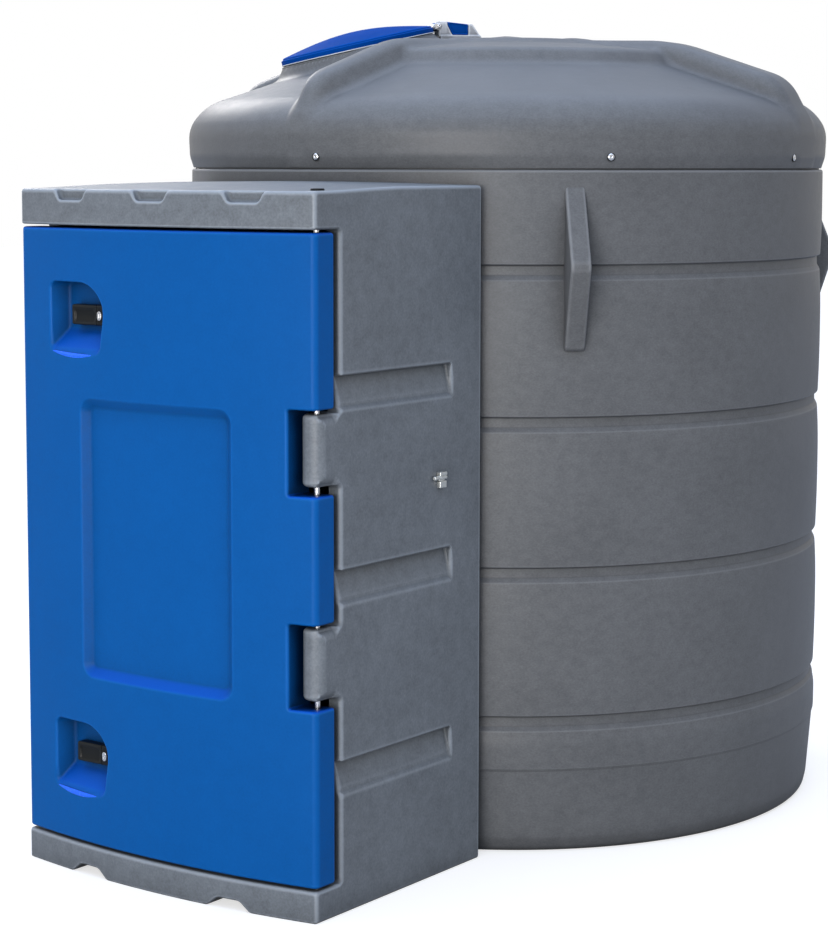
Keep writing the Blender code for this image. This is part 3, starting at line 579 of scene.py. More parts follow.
def tank_shell():
    corners = [(SPIGOT_R - 0.012, SPIGOT_TOP_Z, 0.003), (SPIGOT_R, SPIGOT_TOP_Z, 0.003),
               (SPIGOT_R, TANK_SHOULDER_Z + 0.0001, 0.001), (TANK_R, TANK_SHOULDER_Z, 0.006)]
    top = TANK_SHOULDER_Z - 0.007
    for i, lip in enumerate(GROOVE_TOPS):
        corners += band(top, lip + 0.006, 0.0004 if i == 0 else 0.0034, 0.0026)
        corners += [(TANK_R - 0.0028, lip, 0.0035), (TANK_R - 0.0118, lip - 0.0035, 0.0018),
                    (TANK_R - 0.0110, lip - 0.025, 0.008), (TANK_R - 0.0042, lip - 0.037, 0.014)]
        top = lip - 0.047
    corners += band(top, FOOT_CREASE_Z, 0.0034, 0.0004)[:-1]
    corners += [(TANK_R - 0.0006, FOOT_CREASE_Z, 0.004),
                (TANK_R - 0.0035, FOOT_CREASE_Z - 0.006, 0.010), (TANK_R - 0.0165, 0.034, 0.060),
                (TANK_R - 0.024, 0.0002, 0.018), (FLOOR_R, 0.0002, 0.001),
                (FLOOR_R, FLOOR_THICK, 0.001), (INNER_R, 0.045, 0.02),
                (INNER_R, TANK_SHOULDER_Z - 0.012, 0.004),
                (SPIGOT_R - 0.012, TANK_SHOULDER_Z, 0.004)]
    outline = split_long(rounded(corners), 0.045)
    obj = lathe("tank_shell", outline, TANK_GREY, "tank", facets=264, flip=True)
    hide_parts("tank_wall")


# Cover: one moulding with a low crown, four ribs and the hatch collar
def rim_draft(z):
    """How far the rim stands back from its widest circle at a height."""
    return RIM_DRAFT * np.clip((1.700 - z) / 0.060, 0, 1)


def round_hatch(p):
    """Distance of points from the hatch's axis, and their height over its circle."""
    off = p - np.array(HATCH_CENTRE)
    h = off @ np.array(HATCH_NORMAL)
    return np.sqrt(np.maximum((off * off).sum(-1) - h * h, 0)), h


def cover_field(x, y, z):
    r = np.hypot(x, y)
    rim = r - COVER_R + rim_draft(z)
    body = soft_meet(rim, line(r, z, SHOULDER, (COVER_R, 1.706)), 0.100, 28)
    body = soft_meet(body, line(r, z, CROWN_FOOT, SHOULDER), 0.130, 44)
    body = soft_meet(body, line(r, z, (COVER_R - RIM_DRAFT, 1.641), RIM_FOOT), 0.045, 18)
    body = np.maximum(body, z - 1.884)
    crown = soft_meet(line(r, z, (0.250, 1.929), CROWN_EDGE), line(r, z, CROWN_EDGE, CROWN_FOOT),
                      0.034, 47)
    body = soft_join(body, crown, 0.045, 35)
    cap = soft_meet(z - CAP_EDGE[1], line(r, z, CAP_EDGE, (0.264, 1.925)), 0.050, 22)
    cap = np.maximum(cap, r - 0.300)
    body = soft_join(body, cap, 0.018, 45)
    for azimuth in RIB_AZIMUTHS:
        out = radial(azimuth)
        u = x * out.x + y * out.y
        side = -x * out.y + y * out.x
        top = soft_meet(line(u, z, (0.262, 1.9370), (0.440, 1.9325)),
                        line(u, z, (0.500, 1.9235), (0.775, 1.832)), 0.30, 19)
        top = soft_meet(top, line(r, z, (0.768, 1.8345), (0.8235, 1.730)), 0.110, 44)
        top = soft_meet(top, r - 0.8205, 0.060, 28)
        if azimuth == RIB_AZIMUTHS[0]:
            near = 0.875 * (side - FRONT_RIB_NEAR) + 0.485 * top
            far = 0.955 * (-side - FRONT_RIB_FAR) + 0.297 * top
            rib = soft_meet(soft_meet(top, near, 0.034, 61), far, 0.022, 73)
        else:
            flank = 0.955 * (np.abs(side) - RIB_HALF) + 0.297 * top
            rib = soft_meet(top, flank, 0.042, 73)
        rib = np.maximum(rib, 0.20 - u)
        body = soft_join(body, rib, 0.030, 60)
    body = np.maximum(body, rim)
    rho, h = round_hatch(np.stack(np.broadcast_arrays(x, y, z), -1))
    collar = soft_meet(line(rho, h, (COLLAR_TOP_R, 0.0), (COLLAR_FOOT_R, -COLLAR_DEPTH)) + 0.001,
                       h + COLLAR_DROP, 0.006, 60)
    return soft_join(body, collar, 0.040, 50)


def traced(field, start, way, reach):
    """Walks from far along each ray back to the surface."""
    far = np.full(len(start), reach)
    for _ in range(60):
        far = far - 0.85 * field(*(start + way * far[:, None]).T)
    return start + way * far[:, None]


def cover_rows():
    """The cover's rays in one upright plane, as (radius, height, outward, upward)."""
    turn_r, turn_z = 0.72, 1.70
    rows = [(r, turn_z, 0.0, 1.0) for r in grid_lines(0.012, turn_r, 0.013, (0.12, 0.66, 0.0060))]
    for t in np.linspace(0, 1, 24)[1:]:
        a = math.radians(90 * (1 - t))
        rows.append((turn_r, turn_z, math.cos(a), math.sin(a)))
    for z in grid_lines(TURN_IN_Z, turn_z, 0.012, (TURN_IN_Z, 1.650, 0.005))[::-1][1:]:
        rows.append((turn_r, z, 1.0, 0.0))
    return np.array(rows)


def cover_angles():
    """The cover's angles about Z, close together over the ribs and round the hatch."""
    fine = [(a % 360 - 9.0, a % 360 + 9.0, 0.4) for a in RIB_AZIMUTHS]
    return np.radians(grid_lines(4.5, 364.5, 1.25, *fine, (276.0, 356.0, 0.5))[:-1] - 90.0)


def cover_shell():
    """The upper side is traced along rays; a plain tail leads round the rim and back inside."""
    rows, turn = cover_rows(), cover_angles()
    n, spread = len(rows), len(turn)
    start, way = (spun(turn, *half).reshape(-1, 3) for half in (rows.T[:2], rows.T[2:]))
    points = traced(cover_field, start, way, reach=0.32)
    g = slope(cover_field, points, 0.0006)
    normals = g / np.linalg.norm(g, axis=1)[:, None]
    edge = as_edge(bend_of(cover_field, points, 0.006))
    tail = rounded([(COVER_R - RIM_DRAFT - 0.0080, TURN_IN_Z, 0), (*RIM_FOOT, 0.0012),
                    (COVER_INNER_R, COVER_BOTTOM_Z, 0.001), (COVER_INNER_R, 1.686, 0.01),
                    (0.788, 1.758, 0.03), (0.440, 1.869, 0.10), (0.012, 1.887, 0)], closed=False)
    tail = split_long(tail, 0.05, closed=False)[1:]
    m = n + len(tail)

    def whole(upper, inner):
        """One row for each point: at every angle the traced part, then the tail."""
        return np.concatenate([upper.reshape(spread, n, -1), inner], 1).reshape(spread * m, -1)

    points = whole(points, spun(turn, *tail.T))
    normals = whole(normals, spun(turn, *outline_normals(tail, False).T))
    tail_edge = as_edge(outline_bend(tail, False))[:, None]
    edge = whole(edge, np.tile(tail_edge, (spread, 1, 1)))
    faces = grid_quads(spread, m, wrap_columns=False)[:, [0, 3, 2, 1]]
    in_neck = (round_hatch(points)[0][faces] < NECK_HOLE_R).all(1)
    first = np.arange(spread) * m
    faces = [*faces[~in_neck], first, first[::-1] + m - 1]
    used = np.unique(np.concatenate(faces))
    faces = [np.searchsorted(used, face).tolist() for face in faces]
    obj = piece("cover_shell", points[used], faces, TANK_GREY, "tank", normals[used],
                edge[used, 0])
    covered = [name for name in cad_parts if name.startswith(("cover_", "tank_cover"))]
    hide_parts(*covered)


def neck_ring():
    """The collar's flat top and the inside of the hatch's neck."""
    ring = rounded([(COLLAR_FOOT_R - 0.002, -COLLAR_DEPTH, 0.002),
                    (COLLAR_TOP_R + 0.0050, -0.0110, 0.002),
                    (COLLAR_TOP_R + 0.0050, -0.0080, 0.001), (COLLAR_TOP_R, -COLLAR_DROP, 0.001),
                    (NECK_R, -COLLAR_DROP, 0.005), (NECK_R, -0.075, 0.002),
                    (NECK_R + 0.024, -COLLAR_DEPTH, 0.002)])
    obj = lathe("neck_ring", split_long(ring, 0.02), TANK_GREY, "tank", facets=180,
                place=HATCH_FRAME)
    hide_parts("hatch_collar")


# Cabinet
def bow(x, y):
    return np.hypot(x, y - BOW_CY) - BOW_R


def cabinet_field(x, y, z):
    front = bow(x, y)
    back = np.clip(-front / ROOF_RUN, 0, 1)
    rise = ROOF_RISE * back * back * (3 - 2 * back) * (1 - 0.5 * (x / CAB_HALF) ** 2)
    roof = meet(meet(front, z - CAB_TOP_Z - rise, 0.009), LIP_BOTTOM_Z - z, 0.004)
    plinth = meet(meet(front, z - PLINTH_TOP_Z, 0.008), -z, 0.003)
    wall = meet(WALL_FRONT_Y - y, CAB_WALL_X - np.abs(x), 0.004)
    wall = np.maximum(wall, np.abs(z - CAB_MIDDLE_Z) - 0.74)
    for low, high in BARRELS:
        plan = np.hypot(np.minimum(x - ROD_X, 0), np.minimum(y - ROD_Y, 0)) - BARREL_R
        barrel = meet(plan, np.abs(z - (low + high) / 2) - (high - low) / 2, 0.010)
        barrel = np.maximum(barrel, y - WALL_FRONT_Y - 0.012)
        wall = join(wall, barrel, 0.008)
    body = join(join(roof, wall, 0.007), plinth, 0.007)
    on_barrel = np.zeros_like(z)
    for low, high in BARRELS:
        reach = (high - low) / 2 + 0.006 - np.abs(z - (low + high) / 2)
        on_barrel = np.maximum(on_barrel, np.clip(reach / 0.012, 0, 1))
    on_barrel = on_barrel * np.clip((-1.272 - y) / 0.014, 0, 1) * (x > 0)
    at_end = np.clip((np.abs(z - CAB_MIDDLE_Z) - 0.700) / 0.010, 0, 1)
    body = meet(body, np.abs(x) - CAB_HALF, 0.009 - 0.002 * at_end + 0.018 * on_barrel)
    for low, high in SIDE_GROOVES:
        t = np.clip((z - low) / (high - low), -0.3, 1.2)
        floor = CAB_HALF - 0.006 - 0.014 * t
        groove = meet(floor - np.abs(x), z - high, 0.002)
        groove = meet(groove, np.maximum(low - z, y - GROOVE_END_Y), 0.006)
        body = cut(body, groove, 0.0015 + 0.0075 * np.clip((high - z) / (high - low) * 2.2, 0, 1))
    for centre in LIP_NOTCHES:
        side = np.abs(x - centre) - 0.038 - 0.6 * (z - NOTCH_BOTTOM_Z)
        notch = meet(meet(side * 0.86, NOTCH_BOTTOM_Z - z, 0.006), -(front + 0.016), 0.008)
        body = cut(body, notch, 0.005)
    for centre in FOOT_NOTCHES:
        side = (np.abs(x - centre) - 0.056 + 1.23 * z) * 0.63
        notch = meet(meet(side, z - 0.022, 0.004), -(front + 0.090), 0.006)
        body = cut(body, notch, 0.004)
    return meet(body, BACK_R - np.hypot(x, y - BACK_CY), 0.004)


def cabinet_shell():
    xs = grid_lines(-0.442, 0.442, 0.012, (-0.442, -0.388, 0.003), (0.362, 0.442, 0.003),
                    (-0.312, -0.186, 0.004), (-0.062, 0.062, 0.004), (0.190, 0.316, 0.004),
                    (-0.272, -0.148, 0.0045), (0.143, 0.267, 0.0045))
    ys = grid_lines(-1.400, -0.728, 0.016, (-1.400, -1.335, 0.003), (-1.335, -1.250, 0.004),
                    (-0.872, -0.844, 0.0035), (-0.836, -0.728, 0.009))
    zs = grid_lines(-0.006, 1.588, 0.016, (-0.006, 0.080, 0.0032), (1.476, 1.588, 0.0032),
                    *[(low - 0.008, high + 0.006, 0.0034) for low, high in SIDE_GROOVES],
                    *[(end - 0.012, end + 0.012, 0.0034) for ends in BARRELS for end in ends])
    surface = net(cabinet_field, (xs, ys, zs))
    left = skin("cabinet_shell_left", surface, CABINET_GREY, "tank", lambda p: p[:, 0] < 0)
    right = skin("cabinet_shell_right", surface, CABINET_GREY, "tank", lambda p: p[:, 0] >= 0)
    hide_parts("cabinet_left_wall", "cabinet_roof", "cabinet_plinth")
    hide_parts("cabinet_right_wall", "upper_hinge_barrel", "lower_hinge_barrel")


# Door
def cup_sag(x):
    """How far a cup's floor rises from its middle towards its sides."""
    return 0.10 * (x - sum(CUP_X) / 2) ** 2 / 0.091


def cup_shape(x, z, low, high, depth):
    """A latch cup: slanting inwards on its left, swept round at its upper right."""
    left, right = CUP_X
    shape = meet(0.85 * (left + 0.62 * depth - x), z - high, 0.016)
    shape = meet(shape, x - right, 0.085)
    shape = meet(shape, line(x, z, (right, low + 0.055), (right - 0.020, low)), 0.030)
    return meet(shape, low + cup_sag(x) - z, 0.014)


def door_field(x, y, z):
    front = bow(x, y)
    body = meet(front, np.abs(x) - CAB_HALF, 0.012)
    middle = (DOOR_TOP_Z + DOOR_BOTTOM_Z) / 2
    body = meet(body, np.abs(z - middle) - (DOOR_TOP_Z - DOOR_BOTTOM_Z) / 2, 0.007)
    body = meet(body, y - DOOR_BACK_Y, 0.008)
    zc = (PANEL_Z[0] + PANEL_Z[1]) / 2
    q = meet(np.abs(x) - PANEL_HALF, np.abs(z - zc) - (PANEL_Z[1] - PANEL_Z[0]) / 2, 0.034)
    recess = soft_meet((PANEL_DEPTH * q - 0.021 * front) / 0.027, -(front + PANEL_DEPTH), 0.014,
                       39)
    body = soft_meet(body, -recess, 0.010, 39)
    for low, high in CUPS:
        shape = cup_shape(x, z, low, high, np.clip(-front, 0, 0.05))
        scoop = line(z, -front, (low + 0.010, 0.004), (low + 0.054, CUP_DEPTH))
        cup = soft_meet(meet(shape, -(front + CUP_DEPTH), 0.006), scoop, 0.020, 45)
        body = cut(body, cup, 0.004 + 0.005 * np.clip((low + 0.05 - z) / 0.04, 0, 1))
    for low, high in BARRELS:
        notch = meet(ROD_X - BARREL_R - NOTCH_BESIDE - x,
                     np.maximum(z - high - NOTCH_ABOVE, low - NOTCH_BELOW - z), 0.005)
        body = cut(body, notch, 0.006)
    return cut(body, np.hypot(x - ROD_X, y - ROD_Y) - 0.0075, 0.001)


def door_panel():
    edges = [(v - 0.012, v + 0.012, 0.0035) for low, high in BARRELS
             for v in (low - NOTCH_BELOW, high + NOTCH_ABOVE)]
    xs = grid_lines(-0.442, 0.442, 0.015, (-0.442, -0.412, 0.003), (0.352, 0.442, 0.0034),
                    (-0.332, -0.128, 0.0038), (0.184, 0.236, 0.0044))
    ys = grid_lines(-1.402, -1.276, 0.004, (-1.402, -1.340, 0.003))
    zs = grid_lines(0.070, 1.484, 0.014, (0.070, 0.092, 0.0030), (1.464, 1.484, 0.0030),
                    *[(low - 0.010, high + 0.008, 0.0036) for low, high in CUPS],
                    (PANEL_Z[0] - 0.010, PANEL_Z[0] + 0.045, 0.004),
                    (PANEL_Z[1] - 0.045, PANEL_Z[1] + 0.010, 0.004), *edges)
    obj = skin("door_shell", net(door_field, (xs, ys, zs)), BLUE, "door")
    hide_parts("door_panel")


# Lifting lugs
def lug_field(u, v, z):
    """Side outline in (distance from the axis, height), rounded over its width v."""
    top = line(u, z, (TANK_R - 0.004, 1.577), (LUG_TIP_R, 1.391))
    low = line(u, z, (LUG_TIP_R, 1.383), (TANK_R + 0.010, LUG_FOOT_Z))
    shape = meet(top, low, 0.010)
    shape = meet(shape, LUG_FOOT_Z - z, 0.010)
    body = meet(shape, np.abs(v) - 0.024, 0.006)
    return meet(body, TANK_R - 0.010 - u, 0.002)


def lifting_lugs():
    us = grid_lines(0.810, 0.903, 0.006, (0.880, 0.903, 0.003))
    vs = grid_lines(-0.028, 0.028, 0.008, (-0.028, -0.014, 0.0028), (0.014, 0.028, 0.0028))
    zs = grid_lines(1.182, 1.585, 0.012, (1.182, 1.206, 0.003), (1.350, 1.420, 0.0035),
                    (1.560, 1.585, 0.003))
    surface = net(lug_field, (us, vs, zs))
    for name, azimuth in (("front_right", 45), ("back_right", 135), ("back_left", 225),
                          ("front_left", 315)):
        out = radial(azimuth)
        place = frame_at(Vector(), out, UP.cross(out))
        obj = skin(f"lug_{name}", moved(surface, place), TANK_GREY, "tank")
        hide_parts(f"lifting_lug_{name}")


# Hatch: lid with its hinge knuckle and links, and the bracket that carries the pin
def knuckle_field(x, y, z):
    """In the hatch's frame: x away from the hinge, y along the pin, z up from the lid's rim."""
    knuckle = meet(np.hypot(x + PIN_OUT, z - PIN_UP) - 0.010, np.abs(y) - 0.021, 0.002)
    tongue = meet(meet(np.abs(y) - 0.021, np.abs(z - 0.0072) - 0.0052, 0.002),
                  np.abs(x + 0.198) - 0.018, 0.002)
    return cut(join(knuckle, tongue, 0.003), np.hypot(x + PIN_OUT, z - PIN_UP) - 0.0054, 0.0006)


def link_field(x, y, z):
    """A round-ended steel link on each side, from the pin to the lid's rim, with a bolt head."""
    u = np.clip(x + PIN_OUT, 0, LINK_REACH)
    along = u / LINK_REACH
    plan = np.hypot(x + PIN_OUT - u, z - PIN_UP) - (0.0065 + 0.0012 * along)
    plate = meet(plan, np.abs(np.abs(y) - 0.0345) - 0.0016, 0.0010)
    head = np.sqrt((x + PIN_OUT - LINK_REACH) ** 2 + (z - PIN_UP - 0.0005) ** 2
                   + (1.2 * (np.abs(y) - 0.0350)) ** 2) - 0.0076
    return join(plate, head, 0.001)


def hatch_lid():
    # A pale grey band under the lid's rim: a painted highlight along the lid's lower edge
    lid_rim_highlight = rounded([(0.1945, -0.0052, 0.0008), (LID_R, -0.0052, 0.0008), (LID_R, -0.0026, 0.0008),
                    (0.1945, -0.0026, 0.0008)])
    obj = lathe("lid_edge_band", lid_rim_highlight, PALE_GREY, "hatch", facets=180, place=HATCH_FRAME)
    corners = [(0.194, -0.0035, 0.001), (LID_R - 0.0006, -0.0035, 0.0012),
               (LID_R - 0.0006, 0.0085, 0.0016), (LID_R - 0.0052, 0.0098, 0.0015),
               (LID_R - 0.0060, LID_CROWN_FOOT, 0.004)]
    for foot, radii in ((LID_CROWN_FOOT, np.linspace(0.188, AXIS_R, 26)),
                        (LID_CROWN_FOOT - LID_THICK, np.linspace(AXIS_R, 0.186, 14))):
        for r in radii:
            corners.append((r, foot + LID_CROWN * math.cos(math.pi / 2 * r / 0.197), 0.0))
    obj = lathe("lid_shell", rounded(corners), BLUE_LID, "hatch", facets=180, place=HATCH_FRAME)
    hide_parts("hatch_lid")
    for name, field, half, material, slot in (
            ("lid_knuckle", knuckle_field, 0.024, BLUE_LID, "blue"),
            ("hinge_links", link_field, 0.042, STEEL, "steel")):
        grid = (grid_lines(-0.229, -0.178, 0.0016),
                grid_lines(-half, half, 0.0022, (-half, -0.030, 0.0008), (0.030, half, 0.0008)),
                grid_lines(-0.004, 0.022, 0.0014))
        obj = skin(name, moved(net(field, grid, 0.002), HATCH_FRAME), material, "hatch")


def bracket_field(u, v, z):
    """The bracket's cradle: u along the hatch's direction, v across, z up."""
    pin_u, pin_z = PIN_CENTRE.dot(HATCH_OUT), PIN_CENTRE.z
    wide = np.abs(v)
    base = meet(meet(z - 1.9555, line(u, z, (0.0745, 1.948), (0.0785, 1.9555)), 0.002),
                u - pin_u + 0.004, 0.003)
    end = meet(meet(z - 1.9845, line(u, z, (0.0770, 1.954), (0.0985, 1.9845)), 0.003), u - 0.1090,
               0.0015)
    post = meet(meet(z - 1.9880, line(u, z, (0.1525, 1.957), (0.1675, 1.988)), 0.0015), u - 0.1710,
                0.003)
    ear = join(np.hypot(u - pin_u, z - pin_z) - 0.0115,
               np.maximum(u - pin_u, z - pin_z - 0.0113), 0.001)
    ear = np.maximum(np.maximum(ear, 0.165 - u), 1.950 - z)
    ear = meet(ear, np.abs(wide - 0.02775) - 0.00375, 0.0015)
    solid = join(meet(join(end, post, 0.001), wide - 0.0310, 0.002),
                 meet(base, wide - 0.0333, 0.002), 0.003)
    return np.maximum(join(solid, ear, 0.002), 1.9405 - z)


def insert_field(u, v, z):
    """The blue block in the cradle, with a groove round each side."""
    plan = meet(z - 1.9893 - 0.10 * (u - 0.166), line(u, z, (0.1665, 1.9885), (0.1515, 1.957)),
                0.0015)
    plan = meet(plan, 0.1096 - u, 0.0015)
    plan = np.maximum(plan, 1.9560 - z)
    body = meet(plan, np.abs(v) - 0.0300, 0.0015)
    return cut(body, meet(plan + 0.0028, 0.0288 - np.abs(v), 0.0008), 0.0006)


def hatch_hinge():
    grid = (grid_lines(0.062, 0.204, 0.0020), grid_lines(-0.037, 0.037, 0.0020),
            grid_lines(1.936, 1.994, 0.0016))
    obj = skin("bracket_cradle", moved(net(bracket_field, grid, 0.002), BRACKET_FRAME),
               PALE_GREY, "tank")
    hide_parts("hatch_bracket")
    obj = skin("bracket_block", moved(net(insert_field, grid, 0.002), BRACKET_FRAME),
               BLUE_LID, "tank")
    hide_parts("hatch_bracket_insert")
    end, pin_r = 0.0378, 0.0049
    outline = rounded([(pin_r, -end, 0.002), (pin_r, end, 0.002), (AXIS_R, end + 0.0002, 0),
                       (AXIS_R, -end - 0.0002, 0)])
    obj = lathe("pin_round", outline, STEEL, "tank", facets=32,
                place=frame_at(PIN_CENTRE, HATCH_OUT, -UP))
    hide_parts("hatch_pin")


# Small pieces
def rim_bolts():
    """Flat round heads along the rim, each on a black disc: painted shadow round the head."""
    heads, shadow_discs = [], []
    head = rounded([(AXIS_R, -0.0030, 0), (0.0082, -0.0030, 0), (0.0082, 0.0000, 0.0006),
                    (0.0058, 0.0017, 0.004), (AXIS_R, 0.0022, 0.0)])
    # Black disc under each head: painted shadow
    shadow_disc = rounded([(AXIS_R, -0.003, 0), (0.0102, -0.003, 0), (0.0102, 0.0003, 0.0003),
                    (AXIS_R, 0.0003, 0)])
    for azimuth in BOLT_AZIMUTHS:
        out = radial(azimuth)
        foot = out * (COVER_R - RIM_DRAFT - 0.0002) + UP * BOLT_Z
        place = frame_at(foot, UP.cross(out), UP)
        heads.append(turned(head, facets=28, place=place))
        shadow_discs.append(turned(shadow_disc, facets=28, place=place))
    gathered("rim_bolt_heads", heads, STEEL, "tank")
    gathered("rim_bolt_shadow_discs", shadow_discs, BLACK, "tank")


def rod_hole_shadow():
    """Black disc over the hinge rod's upper end, in the cabinet's roof: painted shade of the hole
    the rod comes up through.
    """
    outline = rounded([(AXIS_R, -0.006, 0), (0.0150, -0.006, 0), (0.0150, 0.0050, 0.002),
                       (AXIS_R, 0.0058, 0)])
    place = Matrix.Translation((ROD_X - 0.006, ROD_Y + 0.012, CAB_TOP_Z))
    lathe("rod_hole_shadow", outline, BLACK, "tank", facets=40, place=place)


def fitting_field(x, y, z):
    """Two blocks, one over the other, with a neck between them, a round tip and a slit."""
    def block(middle, half, reach, r):
        side = meet(np.abs(y - middle[0]) - half[0], np.abs(z - middle[1]) - half[1], r)
        return meet(side, x - reach, r)

    upper = block((-0.901, 0.9235), (0.0130, 0.0085), 0.4418, 0.002)
    lower = block((-0.9005, 0.9030), (0.0125, 0.0080), 0.4400, 0.002)
    neck = block((-0.901, 0.913), (0.0100, 0.006), 0.4360, 0.001)
    tip = meet(np.hypot(x - 0.4362, z - 0.9188) - 0.0048, np.abs(y + 0.922) - 0.012, 0.0015)
    slit = meet(np.abs(z - 0.9225) - 0.0008, 0.4400 - x, 0.0003)
    body = join(join(join(upper, lower, 0.0004), neck, 0.0005), tip, 0.001)
    return np.maximum(cut(body, slit, 0.0004), CAB_HALF + 0.0002 - x)


def side_fitting():
    grid = (grid_lines(0.428, 0.444, 0.0011), grid_lines(-0.938, -0.884, 0.0013),
            grid_lines(0.890, 0.936, 0.0011))
    obj = skin("fitting_blocks", net(fitting_field, grid, 0.001), ZINC, "tank")
    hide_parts("side_fitting")


def latch_field(x, y, z):
    """A latch round its middle: x to the right, y into the cup, z up; its face is at y = 0."""
    face = meet(np.abs(x) - 0.050, np.abs(z) - 0.0228, 0.005)
    body = meet(face, -y, 0.0035)
    scoop = meet(np.abs(x + 0.010) - 0.030, np.abs(z + 0.002) - 0.015, 0.008)
    bowl = 0.0035 * np.clip(1 - ((z + 0.002) / 0.018) ** 2, 0, 1)
    body = cut(body, meet(scoop, y - bowl, 0.003), 0.004)
    body = cut(body, meet(np.abs(x - 0.0255) - 0.0006, y - 0.004, 0.0005), 0.0005)
    return np.maximum(body, y - 0.0218)


def key_field(x, y, z):
    """A lock barrel with a slot in a tall plate, on the latch's right part."""
    tall = np.abs(z) - np.clip(np.abs(z), 0, 0.0042)
    plate = meet(np.hypot(x, tall) - 0.0062, np.abs(y) - 0.0026, 0.0008)
    slot = meet(np.abs(x) - 0.0008, np.maximum(np.abs(z) - 0.0045, y + 0.0012), 0.0003)
    return cut(plate, slot, 0.0003)


def latches():
    grid = (grid_lines(-0.053, 0.053, 0.0022, (0.023, 0.028, 0.0009)),
            grid_lines(-0.002, 0.024, 0.0015), grid_lines(-0.025, 0.025, 0.0019))
    body = net(latch_field, grid, 0.002)
    grid = (grid_lines(-0.0085, 0.0085, 0.0009), grid_lines(-0.0036, 0.0036, 0.0007),
            grid_lines(-0.0125, 0.0125, 0.0010))
    key = net(key_field, grid, 0.001)
    for name, (low, high) in zip(("lower", "upper"), sorted(CUPS)):
        middle = np.array((sum(LATCH_X) / 2, LATCH_FACE_Y, high - LATCH_BELOW_CUP))
        obj = skin(f"{name}_latch_body", (body[0] + middle, *body[1:]), BLACK, "door")
        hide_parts(f"{name}_latch")
        at = middle + np.array(KEY_AT)
        skin(f"{name}_key", (key[0] + at, *key[1:]), STEEL, "door")


def cup_lips():
    """A thin bead along the lower lip of each cup, coloured pale bright blue: a painted highlight.
    """
    steps, ring, thick = 44, 14, 0.0017
    for name, (low, high), wide in (("lower", CUPS[1], 0.0062), ("upper", CUPS[0], 0.0056)):
        x = np.linspace(CUP_X[0] + 0.006, CUP_X[0] + 0.140, steps)
        z = low - 0.0040 + cup_sag(x)
        y = BOW_CY - np.sqrt((BOW_R - 0.0007) ** 2 - x * x)
        middle = np.stack([x, y, z], 1)
        along = np.gradient(middle, axis=0)
        along /= np.linalg.norm(along, axis=1)[:, None]
        side = np.cross(along, (0.0, -1.0, 0.0))
        side /= np.linalg.norm(side, axis=1)[:, None]
        out = np.cross(side, along)
        grow = np.sin(np.linspace(0.03, math.pi - 0.03, steps))[:, None, None] ** 0.6
        turn = np.arange(ring) * 2 * math.pi / ring
        across = side[:, None, :] * np.cos(turn)[:, None]
        outward = out[:, None, :] * np.sin(turn)[:, None]
        points = (middle[:, None, :] + (across * wide + outward * thick) * grow).reshape(-1, 3)
        way = (across * thick + outward * wide).reshape(-1, 3)
        way /= np.linalg.norm(way, axis=1)[:, None]
        ends = [list(range(ring)), [(steps - 1) * ring + k for k in range(ring)][::-1]]
        faces = grid_quads(steps, ring, wrap_rows=False).tolist() + ends
        obj = piece(f"{name}_cup_lip", points, faces, BLUE_LIP_HIGHLIGHT, "door", way,
                    np.full(len(points), 0.1))


# Carried-over nodes
for node_name, material in (("tank_floor", TANK_GREY), ("cabinet_back", CABINET_GREY),
                            ("hinge_rod", STEEL)):
    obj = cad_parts[node_name]
    if not obj.material_slots:
        obj.data.materials.append(material)
    for held in obj.material_slots:
        held.material = material

tank_shell()
cover_shell()
neck_ring()
cabinet_shell()
door_panel()
lifting_lugs()
hatch_lid()
hatch_hinge()
rim_bolts()
rod_hole_shadow()
side_fitting()
latches()
cup_lips()


# Floor, light and camera
def floor():
    a = FLOOR_HALF
    mesh = bpy.data.meshes.new("floor")
    mesh.from_pydata([(-a, -a, 0), (a, -a, 0), (a, a, 0), (-a, a, 0)], [], [(0, 1, 2, 3)])
    obj = bpy.data.objects.new("floor", mesh)
    bpy.context.scene.collection.objects.link(obj)
    made, tree, shader, place = new_material("pale_floor")
    seen = node(tree, "ShaderNodeLightPath").outputs["Is Camera Ray"]
    grain = noise(tree, place, 3.0, 2.0, 0.5)
    pale = mixed(tree, grain, (0.86, 0.86, 0.86, 1), (0.90, 0.90, 0.90, 1))
    colour = mixed(tree, seen, rgba([FLOOR_BOUNCE] * 3), pale)
    tree.links.new(colour, shader.inputs["Base Color"])
    shader.inputs["Roughness"].default_value = 0.9
    shader.inputs["Specular IOR Level"].default_value = 0.1
    glow = node(tree, "ShaderNodeEmission", {"Color": (1, 1, 1, 1), "Strength": FLOOR_GLOW})
    share = maths(tree, "MULTIPLY", seen, FLOOR_GLOW_SHARE)
    both = node(tree, "ShaderNodeMixShader", {0: share, 1: shader.outputs[0],
                                              2: glow.outputs[0]})
    tree.links.new(both.outputs[0], tree.nodes["Material Output"].inputs["Surface"])
    mesh.materials.append(made)


def light(name, place, target, size, power, colour, spread=180):
    data = bpy.data.lights.new(name, "AREA")
    data.shape = "RECTANGLE"
    data.size, data.size_y = size
    data.energy = power
    data.color = colour
    data.spread = math.radians(spread)
    obj = bpy.data.objects.new(name, data)
    bpy.context.scene.collection.objects.link(obj)
    obj.location = place
    obj.rotation_euler = (Vector(target) - Vector(place)).to_track_quat("-Z", "Y").to_euler()


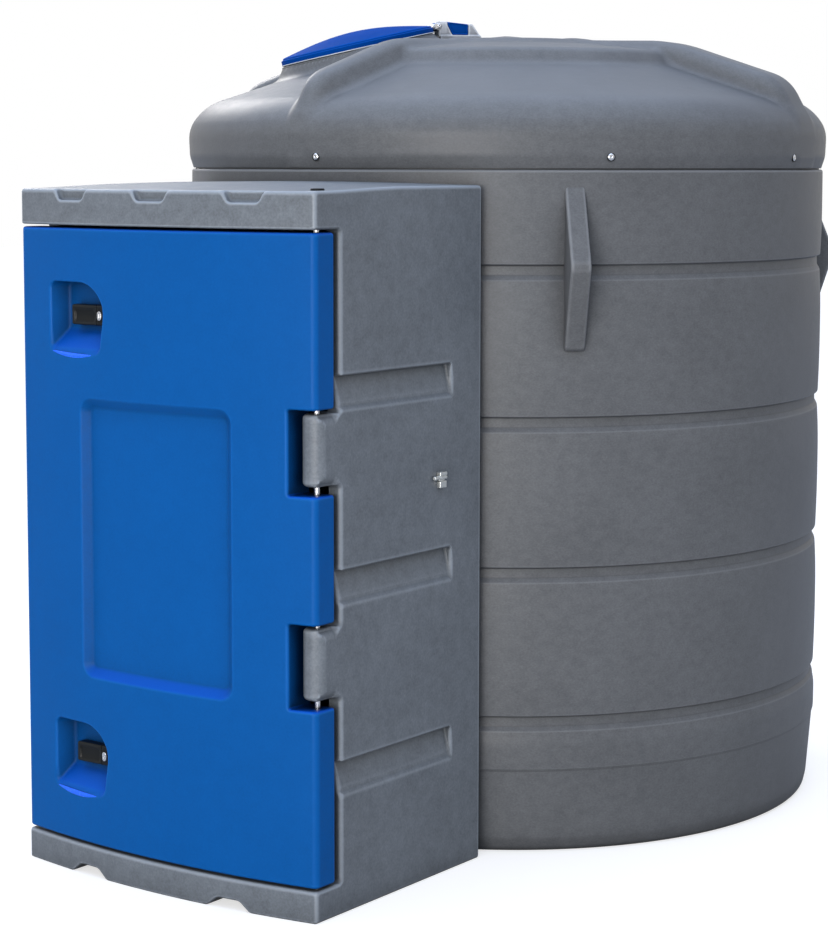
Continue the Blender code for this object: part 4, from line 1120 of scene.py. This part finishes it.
def studio():
    """A sky that is brighter and bluer overhead and brighter in front; the camera sees white."""
    world = bpy.data.worlds.new("studio")
    bpy.context.scene.world = world
    world.use_nodes = True
    tree = world.node_tree
    back = tree.nodes["Background"]
    way = node(tree, "ShaderNodeTexCoord").outputs["Generated"]
    height = node(tree, "ShaderNodeSeparateXYZ", {0: way}).outputs["Z"]
    facing = node(tree, "ShaderNodeVectorMath", {0: way, 1: (-0.45, -0.89, 0.0)},
                  operation="DOT_PRODUCT").outputs["Value"]
    amount = maths(tree, "ADD", ramp(tree, height, 0.0, 0.30, *SKY_LOW),
                   ramp(tree, height, 0.30, 1.0, 0.0, SKY_TOP))
    amount = maths(tree, "MULTIPLY", amount, maths(tree, "MULTIPLY_ADD", facing, SKY_SIDE, 1.0))
    tint = mixed(tree, ramp(tree, height, 0.1, 0.8), (1.03, 0.99, 0.93, 1), (0.76, 0.88, 1.14, 1))
    tree.links.new(tint, back.inputs["Color"])
    tree.links.new(amount, back.inputs["Strength"])
    plain = node(tree, "ShaderNodeBackground", {"Color": (1, 1, 1, 1), "Strength": 1.0})
    seen = node(tree, "ShaderNodeLightPath").outputs["Is Camera Ray"]
    both = node(tree, "ShaderNodeMixShader", {0: seen, 1: back.outputs[0], 2: plain.outputs[0]})
    tree.links.new(both.outputs[0], tree.nodes["World Output"].inputs["Surface"])
    light("overhead", (-0.4, -0.5, 5.2), (0, -0.1, 1.0), (6.0, 6.0), 150, (0.74, 0.88, 1.12))
    light("front", (2.0, -7.0, 1.0), (0.1, -0.6, 0.50), (5.0, 4.0), 68, (1.0, 0.96, 0.92), 55)
    light("back_left", (-5.6, 2.6, 4.9), (-0.1, -0.2, 1.6), (2.4, 1.6), 16, (1.0, 0.97, 0.94), 60)


def camera():
    data = bpy.data.cameras.new("view")
    data.sensor_width = 36.0
    data.lens = CAMERA_LENS
    data.shift_y = CAMERA_SHIFT
    data.clip_end = 100.0
    obj = bpy.data.objects.new("view", data)
    bpy.context.scene.collection.objects.link(obj)
    obj.location = (CAMERA_REACH * math.sin(CAMERA_AZIMUTH),
                    -CAMERA_REACH * math.cos(CAMERA_AZIMUTH), CAMERA_Z)
    obj.rotation_euler = CAMERA_TURN
    bpy.context.scene.camera = obj
    bpy.context.scene.view_settings.view_transform = "Standard"


floor()
studio()
camera()
